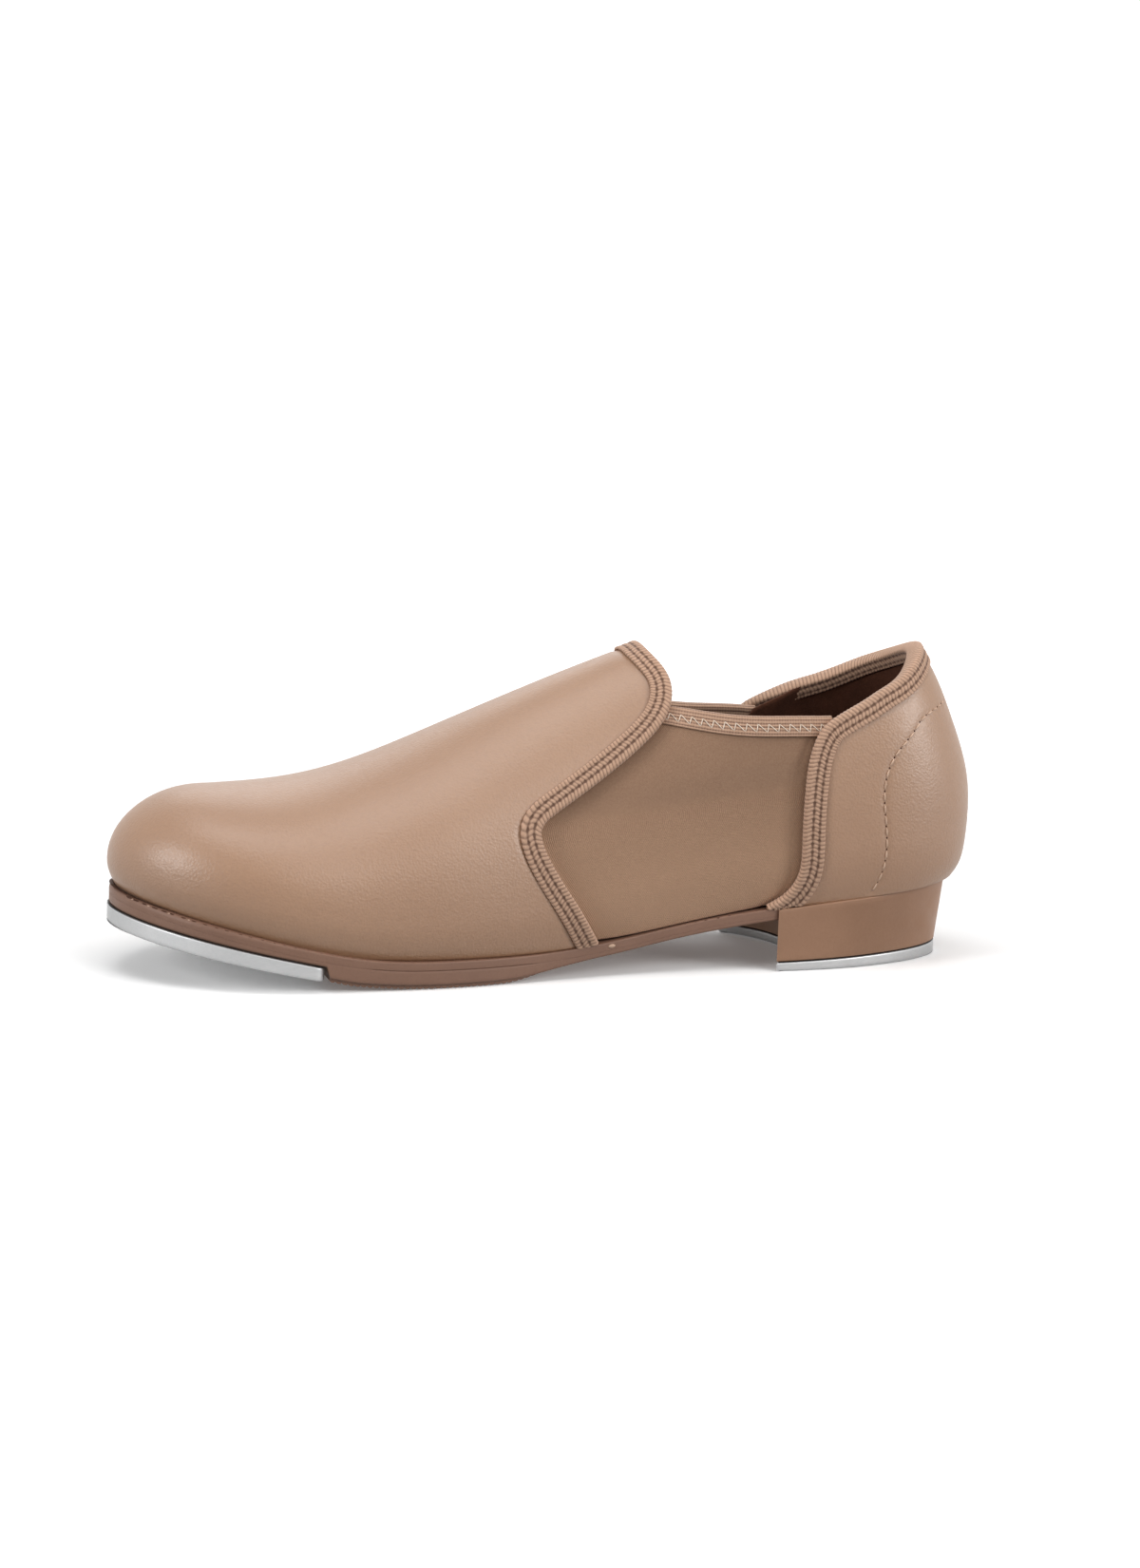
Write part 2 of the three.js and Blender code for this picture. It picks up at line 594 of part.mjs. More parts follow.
// ---------------------------------------------------------------- bottom
// Half width of a plate below or inside the upper: the last's plan, drawn in by inset, with
// round ends at x = from and, where it has one, at x = to.
function plateHalf(side, x, inset, from, to) {
  const front = cap(Math.max(x - from, 0), PLAN_CAP + from - TIP, 2.3);
  const rear = to === undefined ? 1 : cap(Math.max(to - x, 0), 34, 2.1);
  return (halfWidest[side](x) - inset(x)) * front * rear;
}

// Places along X, closer together towards round ends.
function stations(from, to, count, roundFront, roundRear) {
  return Array.from({ length: count + 1 }, (_, i) => {
    const t = i / count;
    if (roundFront && roundRear) return lerp(from, to, (1 - Math.cos(Math.PI * t)) / 2);
    if (roundFront) return lerp(from, to, 1 - Math.cos((Math.PI * t) / 2));
    return lerp(from, to, t);
  });
}

// A plate lofted along X; half(side, x), top(x) and bottom(x) give its section.
function plate(places, half, top, bottom) {
  const rings = places.map((x) => {
    const y0 = centre(x) - half(MEDIAL, x);
    const y1 = centre(x) + half(LATERAL, x);
    return [V(x, y0, top(x)), V(x, y1, top(x)), V(x, y1, bottom(x)), V(x, y0, bottom(x))];
  });
  return solidOfRings(rings);
}

// A round bar along an axis through a point, from below to above it.
function bar(radius, point, axis, from, to, sides = 10) {
  const geometry = new THREE.CylinderGeometry(radius, radius, to - from, sides);
  geometry.rotateX(Math.PI / 2);
  geometry.translate(0, 0, (from + to) / 2);
  const turn = new THREE.Quaternion().setFromUnitVectors(V(0, 0, 1), axis.clone().normalize());
  return geometry.applyQuaternion(turn).translate(point.x, point.y, point.z);
}

// A turned piece about an axis through a point; the profile is [radius, height] pairs.
function turned(profile, point, axis, sides = 12) {
  const geometry = new THREE.LatheGeometry(profile.map(([r, h]) => new THREE.Vector2(r, h)), sides);
  geometry.rotateX(Math.PI / 2);
  const turn = new THREE.Quaternion().setFromUnitVectors(V(0, 0, 1), axis.clone().normalize());
  return geometry.applyQuaternion(turn).translate(point.x, point.y, point.z);
}

const UP = V(0, 0, 1);
const EPS = 0.15; // a round end stops this far short of its tip, on a small flat

const soleInset = spline([[-129, 0.2], [-60, 0.6], [-30, 0.9], [0, 2], [30, 2.5], [66, 2.6]]);
const tapBottom = (x) => 4.2 - 0.188 * (x + 79);
const tapThickness = (x) => lerp(3.2, 4.2, clamp((TAP_REAR - x) / (TAP_REAR - TAP_TIP), 0, 1));
const tapTop = (x) => tapBottom(x) + tapThickness(x);
const tapAxis = V(0.188, 0, 1).normalize();
const treadLine = spline([[-72, 4.2], [-66, 2.9], [-58, 2], [-48, 1.4], [-36, 1.2], [-24, 1.25],
  [-14, 1.9], [-6, 3.3], [4, 5.1], [17, 7.2], [31, 9.9], [45, 12.3], [60, 14.6], [80, 17.4]]);
const midsoleTop = (x) => feather(x) - GAP;
const midsoleBottom = (x) => feather(x) - GAP - MIDSOLE;
const outsoleTop = (x) => midsoleBottom(x) - GAP;
const STEP = TAP_REAR + 1.2; // where the outsole steps down behind the tap

function outsoleBottom(x) {
  if (x < STEP) return tapTop(x) + GASKET + 2 * GAP;
  return Math.min(treadLine(x), outsoleTop(x) - OUTSOLE_WAIST);
}

// The breast of the heel: an arc across the shoe, curving in between its two front corners.
const breastRadius = (BREAST_HALF ** 2 + BREAST_DEPTH ** 2) / (2 * BREAST_DEPTH);
const breastX = (y) => BREAST + BREAST_DEPTH - breastRadius
  + Math.sqrt(breastRadius ** 2 - Math.min(Math.abs(y), BREAST_HALF) ** 2);

// Everything behind the breast: the sole is trimmed back by this solid to clear the heel block.
function heelZone(grow) {
  const outline = [];
  for (let i = 0; i <= 16; i++) {
    const y = lerp(-BREAST_HALF, BREAST_HALF, i / 16);
    outline.push([breastX(y) - grow, y]);
  }
  outline.push([BREAST - grow, 60], [160, 60], [160, -60], [BREAST - grow, -60]);
  return solidOfRings([-20, 60].map((z) => outline.map(([x, y]) => V(x, y, z))));
}

// Screw places: [x, y] on each tap, heel nails on the insole.
const TOE_SCREWS = [[-114, -4], [-86, -26], [-86, 24]];
const HEEL_SCREWS = [[84, -14], [84, 14], [108, 0]];
const HEEL_NAILS = [[84, -7], [84, 7], [98, -12], [98, 12], [110, 0]];

function countersunk(point, axis, length) {
  const profile = [[0, 0], [2.6, 0], [2.6, 0.3], [1.3, 1.7], [1.3, length - 1.5], [0, length]];
  return turned(profile, point, axis);
}

const countersink = (point, axis, length) => turned(
  [[0, -3], [3, -3], [3, 0.5], [1.65, 1.9], [1.65, length + 0.5], [0, length + 0.5]], point, axis);

function buildSole() {
  const screwPoints = TOE_SCREWS.map(([x, y]) => V(x, y, tapBottom(x) + 0.3));
  const holes = screwPoints.map((p) => countersink(p, tapAxis, TOE_SCREW));
  const trim = heelZone(GAP);
  const half = (side, x) => plateHalf(side, x, soleInset, SOLE_TIP);
  const long = stations(SOLE_TIP + EPS, 80, 34, true, false);
  add("midsole", "sole", cut(plate(long, half, midsoleTop, midsoleBottom), [...holes, trim]));
  const outsoleHalf = (side, x) => plateHalf(side, x, (a) => soleInset(a) + 0.3, SOLE_TIP + 0.3);
  const stepped = [...stations(SOLE_TIP + 0.3 + EPS, STEP - 0.01, 14, true, false), STEP,
    ...stations(STEP + 1.5, 80, 26, false, false)];
  const outsole = plate(stepped, outsoleHalf, outsoleTop, outsoleBottom);
  add("outsole", "sole", cut(outsole, [...holes, trim]));

  const treadHalf = (side, x) => plateHalf(side, x, (a) => soleInset(a) + 1.6, SOLE_TIP);
  const treadTop = (x) => outsoleBottom(x) - GAP;
  add("tread_pad", "tread", plate(stations(-64, -8, 16), treadHalf, treadTop, (x) => treadTop(x) - 0.9));

  const tapHalf = (side, x) => {
    const roundRear = cap(TAP_REAR + 0.01 - x, 3, 2);
    return plateHalf(side, x, () => 0, TAP_TIP) - 3 * (1 - roundRear);
  };
  const tapPlaces = [...stations(TAP_TIP + EPS, TAP_REAR - 3, 14, true, false),
    TAP_REAR - 1.6, TAP_REAR - 0.6, TAP_REAR - 0.15, TAP_REAR];
  add("toe_tap", "aluminium", cut(plate(tapPlaces, tapHalf, tapTop, tapBottom), holes));
  const boardHalf = (side, x) => tapHalf(side, x) - 0.7;
  const boardPlaces = stations(TAP_TIP + 1, TAP_REAR - 1, 14, true, false);
  const board = plate(boardPlaces, boardHalf, (x) => tapTop(x) + GAP + GASKET, (x) => tapTop(x) + GAP);
  add("toe_tap_sound_board", "gasket", cut(board, holes));
  screwPoints.forEach((p, i) => add(`toe_tap_screw_${i + 1}`, "steel", countersunk(p, tapAxis, TOE_SCREW)));
}

// Half width of the heel block at a height share k, 0 at the ground and 1 at the seat.
function blockHalf(x, k) {
  const foot = BREAST_HALF * Math.sqrt(1 - clamp((x - BREAST) / (BLOCK_FOOT_END - BREAST), 0, 1) ** 1.8);
  const reach = clamp((x - 87) / (BLOCK_END - 87), 0, 1);
  const seat = BREAST_HALF * Math.sqrt(1 - reach ** 2);
  return lerp(foot, seat, k);
}

const seatHeight = (x) => lerp(17.9, 25.2, (x - BREAST) / (BLOCK_END - BREAST));
const heelTapTop = (x) => lerp(2.5, 3.9, (x - BREAST) / (BLOCK_FOOT_END - BREAST));
const blockFloor = (x) => heelTapTop(x) + 2 * GAP + GASKET * 0.8;

// Plan outline of the heel at a height share: both sides, then the breast arc.
function heelOutline(k, inset) {
  const end = lerp(BLOCK_FOOT_END, BLOCK_END, k) - inset;
  const start = BREAST + inset;
  const sides = [];
  for (let i = 0; i <= 14; i++) {
    const x = lerp(start, end, Math.sin((Math.PI / 2) * (i / 14)) ** 0.9);
    const y = Math.max(blockHalf(Math.min(x + inset, end + inset - 0.02), k) - inset, 0.4);
    sides.push([x, y]);
  }
  const medial = sides.map(([x, y]) => [x, -y]);
  const lateral = sides.map(([x, y]) => [x, y]).reverse();
  const breast = [];
  for (let i = 1; i < 10; i++) {
    const y = lerp(lateral.at(-1)[1], medial[0][1], i / 10);
    breast.push([Math.max(breastX(y) + inset, start), y]);
  }
  return [...medial, ...lateral, ...breast];
}

function heelLayer(k0, k1, inset, bottom, top) {
  const ring = (k, z) => heelOutline(k, inset).map(([x, y]) => V(x, y, z(x)));
  return [ring(k0, bottom), ring(k1, top)];
}

function buildHeel() {
  const screws = HEEL_SCREWS.map(([x, y]) => V(x, y, 0.3));
  const holes = screws.map((p) => countersink(p, UP, HEEL_SCREW));
  const nails = HEEL_NAILS.map(([x, y]) => V(x, y, boardTop(x)));
  const nailHoles = nails.map((p) => bar(1.3, p, UP, -NAIL - 0.5, 1));
  const middle = (x) => lerp(blockFloor(x), seatHeight(x), 0.5);
  const ring = (k, z) => heelOutline(k, 0).map(([x, y]) => V(x, y, z(x)));
  const block = solidOfRings([ring(0, blockFloor), ring(0.42, middle), ring(1, seatHeight)]);
  add("heel_block", "sole", cut(block, [...holes, ...nailHoles]));
  const tap = solidOfRings(heelLayer(0, 0, 0, () => 0, heelTapTop));
  add("heel_tap", "aluminium", cut(tap, holes));
  const gasketFloor = (x) => heelTapTop(x) + GAP;
  const gasket = heelLayer(0, 0, 0.5, gasketFloor, (x) => gasketFloor(x) + GASKET * 0.8);
  add("heel_tap_sound_board", "gasket", cut(solidOfRings(gasket), holes));
  screws.forEach((p, i) => add(`heel_tap_screw_${i + 1}`, "steel", countersunk(p, UP, HEEL_SCREW)));
  nails.forEach((p, i) => {
    const down = V(0, 0, -1);
    const profile = [[0, 0.1], [2.2, 0.1], [2.2, 0.7], [1, 0.9], [1, NAIL - 1], [0, NAIL]];
    add(`heel_nail_${i + 1}`, "steel", turned(profile, p, down, 8));
  });
}

// ---------------------------------------------------------------- inside
const boardBottom = (x) => feather(x) + LEATHER + 0.9;
const boardTop = (x) => boardBottom(x) + 2.2;
const BOARD_REAR = 123; // rear end of the plan that the insole is drawn in from

// Half width of a piece that fills the bottom of the shoe to within inset of its walls.
const boardHalf = (inset) => (side, x) => plateHalf(
  side, x, () => SIDE_TUCK + inset, TIP + TOE_TUCK + inset, BOARD_REAR - inset);

function buildInsole() {
  const nailPoints = HEEL_NAILS.map(([x, y]) => V(x, y, boardTop(x)));
  const nailHoles = nailPoints.flatMap((p) => [bar(1.3, p, UP, -NAIL, 1), bar(2.5, p, UP, -1, 3)]);
  const rivets = [[2, 0], [62, 0]].map(([x, y]) => V(x, y, boardBottom(x)));
  const rivetHoles = rivets.map((p) => bar(1.8, p, UP, -4, 3));
  const span = (inset) => stations(
    TIP + TOE_TUCK + inset + EPS, BOARD_REAR - inset - EPS, 34, true, true);
  const board = plate(span(6.2), boardHalf(6.2), boardTop, boardBottom);
  add("insole_board", "board", cut(board, [...nailHoles, ...rivetHoles]));
  const sockBottom = (x) => boardTop(x) + GAP;
  const sock = plate(span(6.4), boardHalf(6.4), (x) => sockBottom(x) + 1.6, sockBottom);
  add("sock_liner", "suede", sock);

  const fillerTop = (x) => feather(x) + LEATHER;
  const fillerHalf = (side, x) => plateHalf(side, x, () => SIDE_TUCK + 10, TIP + TOE_TUCK + 10);
  const filler = stations(TIP + TOE_TUCK + 10 + EPS, -12, 16, true, false);
  add("bottom_filler", "foam", plate(filler, fillerHalf, fillerTop, (x) => feather(x) + 0.1));
  const shankPlaces = stations(-8, 78, 16, false, false);
  const shank = plate(shankPlaces, () => 7, (x) => feather(x) + 1.6, (x) => feather(x) + 0.4);
  add("steel_shank", "steel", cut(shank, rivetHoles));
  rivets.forEach((p, i) => {
    const profile = [[0, -2.3], [1.5, -2.3], [1.5, 2.0], [0, 2.0]];
    add(`shank_rivet_${i + 1}`, "steel", turned(profile, p, UP, 10));
  });
}

buildVamp();
buildQuarter();
buildGore(MEDIAL, "medial");
buildGore(LATERAL, "lateral");
buildEdgeBindings();
buildInsole();
buildSole();
buildHeel();

// The origin is the middle of the footprint, on the ground.
const extent = new THREE.Box3().setFromObject(shoe, true);
const middle = extent.getCenter(V());
for (const mesh of shoe.children) mesh.geometry.translate(-middle.x, -middle.y, -extent.min.z);

export default shoe;
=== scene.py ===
import math

import bpy
import numpy as np
from mathutils import Matrix, Vector


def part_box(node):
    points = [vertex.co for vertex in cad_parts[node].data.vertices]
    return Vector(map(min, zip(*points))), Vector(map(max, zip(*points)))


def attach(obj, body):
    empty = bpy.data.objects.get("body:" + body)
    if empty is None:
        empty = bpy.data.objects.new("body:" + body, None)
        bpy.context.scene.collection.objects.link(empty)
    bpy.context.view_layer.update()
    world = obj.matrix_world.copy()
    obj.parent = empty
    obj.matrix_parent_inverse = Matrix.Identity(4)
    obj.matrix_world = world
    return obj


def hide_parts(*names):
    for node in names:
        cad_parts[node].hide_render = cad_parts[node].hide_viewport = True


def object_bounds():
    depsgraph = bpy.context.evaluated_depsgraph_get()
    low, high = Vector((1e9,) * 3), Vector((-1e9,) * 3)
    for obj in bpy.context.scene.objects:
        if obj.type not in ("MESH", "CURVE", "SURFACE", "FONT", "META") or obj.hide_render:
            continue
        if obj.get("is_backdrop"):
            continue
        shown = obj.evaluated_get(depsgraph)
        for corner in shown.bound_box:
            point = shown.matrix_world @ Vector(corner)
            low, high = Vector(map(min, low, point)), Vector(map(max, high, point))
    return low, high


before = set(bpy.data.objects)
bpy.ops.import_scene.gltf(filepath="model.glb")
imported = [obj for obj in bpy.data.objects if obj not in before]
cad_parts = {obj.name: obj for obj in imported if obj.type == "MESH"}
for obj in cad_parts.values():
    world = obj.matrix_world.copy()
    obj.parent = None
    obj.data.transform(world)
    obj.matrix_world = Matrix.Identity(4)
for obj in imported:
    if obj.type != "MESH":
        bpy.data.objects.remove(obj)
cad_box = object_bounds()

# The looks of a slip-on tap shoe: leather vamp and quarter, two knit gores, woven edge bindings,
# a soft lining, a layered sole on a block heel, and two aluminium taps.
# Shapes are worked out in millimetres on the last, X to the heel, Y to the lateral side, Z up.

# ---------------- driving dimensions
TIP = -129.0
TOE_CENTRE = -64.0
HEEL_CENTRE = 92.0
PLAN_CAP = 62.0
CREST_CAP = 27.0
PLAN_POWER = 2.3  # roundness of the toe in plan
SECTION_POWER = 2.25  # roundness of the sections and of the heel
TOE_TUCK = 2.7
SIDE_TUCK = 2.7
TAP_REAR = -73.2
BREAST = 63.0
BREAST_DEPTH = 12.5
BREAST_HALF = 28.4
BLOCK_END = 123.2
BLOCK_FOOT_END = 121.6

LEATHER = 1.4
LINING_DEPTH = 3.0
LINING = 0.8
GORE_DEPTH = 2.6  # the gore's outer face below the last, under the bindings
GORE_BULGE = 1.5  # how far it swells out between them
GORE = 1.5
TAPE_WIDTH = 5.2  # flat part of a binding, beside its fold
RIB_PITCH = 1.2  # cross ribs of the leather bindings
SEAM_GAP = 0.3
SEAM_PITCH = 3.3  # stitches in the seam round the sole
COUNTER_PITCH = 3.45  # stitches of the counter line
ZIGZAG_PITCH = 3.2  # stitches along the top of a gore

MEDIAL, LATERAL = -1, 1
SIDES = (("medial", MEDIAL), ("lateral", LATERAL))
rng = np.random.default_rng(7)

# The CAD frame's origin is the middle of the footprint: the heel tap says where that is.
tap_low, tap_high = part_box("heel_tap")
SHIFT = np.array([tap_low.x * 1000 - BREAST, (tap_low.y + tap_high.y) * 500, tap_low.z * 1000])


def to_cad(points):
    """Millimetres on the last to metres in the CAD frame."""
    return (np.asarray(points) + SHIFT) / 1000


# ---------------- curves
class Spline:
    """Natural cubic spline through (position, value) knots, straight beyond its ends."""

    def __init__(self, *knots):
        self.t, self.v = np.array(knots, float).T
        step = np.diff(self.t)
        slope = np.diff(self.v) / step
        matrix = np.eye(len(knots))
        wanted = np.zeros(len(knots))
        for i in range(1, len(knots) - 1):
            matrix[i, i - 1 : i + 2] = step[i - 1], 2 * (step[i - 1] + step[i]), step[i]
            wanted[i] = 6 * (slope[i] - slope[i - 1])
        self.bend = np.linalg.solve(matrix, wanted)

    def __call__(self, at):
        at = np.asarray(at, float)
        held = np.clip(at, self.t[0], self.t[-1])
        i = np.clip(np.searchsorted(self.t, held) - 1, 0, len(self.t) - 2)
        h = self.t[i + 1] - self.t[i]
        a = held - self.t[i]
        b = self.t[i + 1] - held
        m0, m1 = self.bend[i], self.bend[i + 1]
        v0, v1 = self.v[i], self.v[i + 1]
        value = (m0 * b**3 + m1 * a**3) / (6 * h) + (v0 / h - m0 * h / 6) * b + (v1 / h - m1 * h / 6) * a
        slope = (m1 * a**2 - m0 * b**2) / (2 * h) + (v1 - v0) / h - (m1 - m0) * h / 6
        return value + slope * (at - held)


feather = Spline((-126, 23.4), (-105, 18.4), (-80, 12.6), (-58, 8.6), (-35, 7.7), (-10, 8), (12, 10.2),
                 (40, 15.2), (62, 18.4), (85, 21.07), (110, 23.97), (126, 25.8))
rise = Spline((-129, 6.5), (-100, 9), (-60, 10), (0, 14), (50, 16), (92, 17), (130, 17))
ridge = Spline((-129, 51.6), (-110, 51.8), (-90, 52.3), (-75, 53.8), (-55, 59.2), (-30, 69.6),
               (0, 82.6), (22, 91.4), (45, 100), (70, 107.5), (92, 110), (114, 107.5))
centre = Spline((-129, -5), (-105, -4), (-80, -1.8), (-50, 0), (0, 0), (60, 0), (129, 0))
medial_half = Spline((-129, 40), (-90, 42.8), (-64, 43.8), (-40, 43), (-15, 38.5), (10, 33.4),
                     (35, 30.2), (60, 29.8), (80, 30.4), (92, 30.6), (104, 30.4))
lateral_half = Spline((-129, 41), (-90, 42.6), (-64, 43.8), (-40, 45.6), (-15, 43.2), (10, 38.2),
                      (35, 33.6), (60, 31), (80, 30.6), (92, 30.6), (104, 30.5))
back = Spline((20, 120), (23.5, 123.4), (27, 126.3), (34, 128.5), (44, 129.2), (54, 128.4),
              (64, 125.6), (74, 121.6), (84, 117), (94, 111))


def smoothstep(x, low, high):
    t = np.clip((np.asarray(x, float) - low) / (high - low), 0, 1)
    return t * t * (3 - 2 * t)


def lerp(a, b, t):
    return a + (b - a) * t


def unit(vectors):
    return vectors / np.maximum(np.linalg.norm(vectors, axis=-1, keepdims=True), 1e-12)


def stack(*parts):
    return np.stack(np.broadcast_arrays(*parts), axis=-1)


def circle(count):
    """Angles once round."""
    return np.linspace(0, 2 * math.pi, count, endpoint=False)


def along(points):
    """Distance along a row of points, from 0."""
    steps = np.linalg.norm(np.diff(points, axis=0), axis=-1)
    return np.concatenate([np.zeros((1,) + steps.shape[1:]), np.cumsum(steps, axis=0)])


# ---------------- the last
def widest(x):
    return feather(x) + rise(x)


def cap(distance, length, power):
    """0 at a tip, rounding up to 1 at the given length from it."""
    return np.sqrt(1 - np.clip(1 - distance / length, 0, 1) ** power)


def crest(x):
    return lerp(widest(x), ridge(x), cap(x - TIP, CREST_CAP, 2.05))


def half_width(side, x, z):
    reach = np.clip((x - HEEL_CENTRE) / (back(z) - HEEL_CENTRE), 0, 1)
    x = np.minimum(x, HEEL_CENTRE)
    wide = widest(x)
    tuck = np.clip((wide - z) / rise(x), 0, 1.3) ** 2
    stretch = 1 + TOE_TUCK * tuck / (TOE_CENTRE - TIP)
    at = np.where(x < TOE_CENTRE, TOE_CENTRE - (TOE_CENTRE - x) * stretch, x)
    half = np.where(np.asarray(side) < 0, medial_half(at), lateral_half(at))
    level = (half - SIDE_TUCK * tuck) * cap(at - TIP, PLAN_CAP, PLAN_POWER)
    up = np.clip((z - wide) / (crest(x) - wide + 1e-6), 0, 1)
    return np.maximum(level, 0) * np.sqrt(1 - up**SECTION_POWER) * np.sqrt(1 - reach**SECTION_POWER)


RAY_END = 140.0  # past every point of the last
HALVINGS = 34


def ray_points(spine_x, tilt, angle):
    """Where rays from the spine meet the last: angle 0 medial, 90 up, 180 lateral, tilted forwards."""
    spine_x, tilt, angle = np.broadcast_arrays(spine_x, np.radians(tilt), np.radians(angle))
    forward = -np.sin(angle) * np.sin(tilt)
    up = np.sin(angle) * np.cos(tilt)
    across = -np.cos(angle)
    side = np.where(across < 0, MEDIAL, LATERAL)
    inside = np.zeros(spine_x.shape)
    outside = np.full(spine_x.shape, RAY_END)
    for _ in range(HALVINGS):
        r = (inside + outside) / 2
        x = spine_x + r * forward
        z = feather(x) + r * up
        held = (x > TIP) & (z <= crest(x) + 1e-9) & (r * np.abs(across) < half_width(side, x, z))
        inside = np.where(held, r, inside)
        outside = np.where(held, outside, r)
    x = spine_x + inside * forward
    return stack(x, centre(x) + inside * across, feather(x) + inside * up)


def wall_points(side, x, z):
    return stack(x, centre(x) + side * half_width(side, x, z), z)


def heel_points(turn, z):
    side = np.where(turn < 0, MEDIAL, LATERAL)
    x = HEEL_CENTRE + (back(z) - HEEL_CENTRE) * np.cos(np.radians(turn)) ** (2 / SECTION_POWER)
    return wall_points(side, x, z)


def onto_wall(points):
    """Moves points beside the heel and the gores on to the last, at their own height."""
    x, y, z = np.moveaxis(points, -1, 0)
    side = np.where(y < centre(x), MEDIAL, LATERAL)
    dx = np.maximum(x - HEEL_CENTRE, 0) / (back(z) - HEEL_CENTRE)
    dy = np.abs(y) / half_width(side, HEEL_CENTRE, z)
    turn = np.degrees(np.arctan2(dy, dx ** (SECTION_POWER / 2)))
    return np.where((x <= HEEL_CENTRE)[..., None], wall_points(side, x, z), heel_points(side * turn, z))


def onto_vamp(points):
    x, y, z = np.moveaxis(points, -1, 0)
    return ray_points(x, 0, np.degrees(np.arctan2(z - feather(x), centre(x) - y)))


# ---------------- pattern lines and patches
vamp_edge_x = Spline((0, 7.5), (22, -1.2), (34, -7.8), (42, -11.4), (47.5, -10.6), (52, -4.7), (58, 5.7),
                     (64, 17.2), (69, 26), (73.5, 29.5), (77, 29.4), (82, 26.8), (86, 25.3), (90, 25),
                     (94, 25.3))
quarter_front = Spline((17, 57.5), (18.4, 60.3), (20.3, 63.8), (24.1, 67.6), (28.5, 69.6), (34.7, 70),
                       (44.4, 69.9), (53.4, 70.3), (62.3, 71.4), (68.1, 73.3), (71.7, 75.2))
LATERAL_SHIFT = -8
topline = Spline((0, 71.7), (0.036, 74.2), (0.126, 78.4), (0.2, 81.8), (0.263, 86.3), (0.313, 89.8),
                 (0.353, 91.8), (0.5, 93.2), (0.657, 88.6), (0.753, 84), (0.8, 81), (0.87, 78.6),
                 (0.95, 74.6), (1, 70.5))
GORE_FOLD = 0.7  # the gore's own edge lies this far inside its binding
gore_top = {
    MEDIAL: Spline((22, 79.6), (36, 76.9), (50, 75.1), (64, 75), (84, 75.4)),
    LATERAL: Spline((20, 78.4), (34, 74.4), (48, 72.2), (60, 71.9), (76, 71.5)),
}
VAMP_TUCK = 5
QUARTER_TUCK = 5
GORE_ANGLE = 71  # section angle at which the vamp's edge reaches the top of a gore
GORE_REAR_TOP = 71.7  # height at which the quarter's front edge does
FOOT_Z = 23.0  # height of the feather line round the heel, near enough to start from
TOE_SHARE = 0.5
TOE_SPINE = 20  # the toe's rays start from this length of the spine
SIDE_SHARE = 0.2
FOOT_BIAS = 1.4


def vamp_edge(angle):
    return vamp_edge_x(np.where(angle > 90, 180 - angle, angle))


edge_angles = np.arange(181.0)
DEGREE_WEIGHT = 1.4  # millimetres of edge that a degree counts as
edge_spent = along(ray_points(vamp_edge(edge_angles), 0, edge_angles)) + DEGREE_WEIGHT * edge_angles


def vamp_angle(v):
    """Section angle by v: the steps go partly by angle, partly by length along the rear edge."""
    return np.interp(np.asarray(v) * edge_spent[-1], edge_spent, edge_angles)


def vamp_patch(u, v, short=0):
    """u runs from the toe's feather line to the rear edge, v from the medial to the lateral side."""
    angle = vamp_angle(v)
    share = np.maximum(0, (u - TOE_SHARE) / (1 - TOE_SHARE))
    spine = np.where(u < TOE_SHARE, TOE_CENTRE + TOE_SPINE * u / TOE_SHARE,
                     lerp(TOE_CENTRE + TOE_SPINE, vamp_edge(angle) - short, share))
    return ray_points(spine, 90 * np.maximum(0, 1 - u / TOE_SHARE), angle)


def quarter_patch(u, v):
    """u runs round the heel from the medial front edge to the lateral one, v from the feather up."""
    u, v = np.broadcast_arrays(u, v)
    side = np.where(u < 0.5, MEDIAL, LATERAL)
    from_front = np.minimum(u, 1 - u)
    top = topline(u)
    turn = side * 90 * (1 - np.clip((from_front - SIDE_SHARE) / (0.5 - SIDE_SHARE), 0, 1))
    foot = heel_points(turn, np.full(turn.shape, FOOT_Z))
    round_heel = heel_points(turn, lerp(feather(foot[..., 0]), top, v**FOOT_BIAS))
    shift = np.where(side == LATERAL, LATERAL_SHIFT, 0)
    share = np.minimum(from_front / SIDE_SHARE, 1)
    z = lerp(feather(lerp(quarter_front(18.4) + shift, HEEL_CENTRE, share)), top, v**FOOT_BIAS)
    straight = wall_points(side, lerp(quarter_front(z) + shift, HEEL_CENTRE, share), z)
    return np.where((from_front >= SIDE_SHARE)[..., None], round_heel, straight)


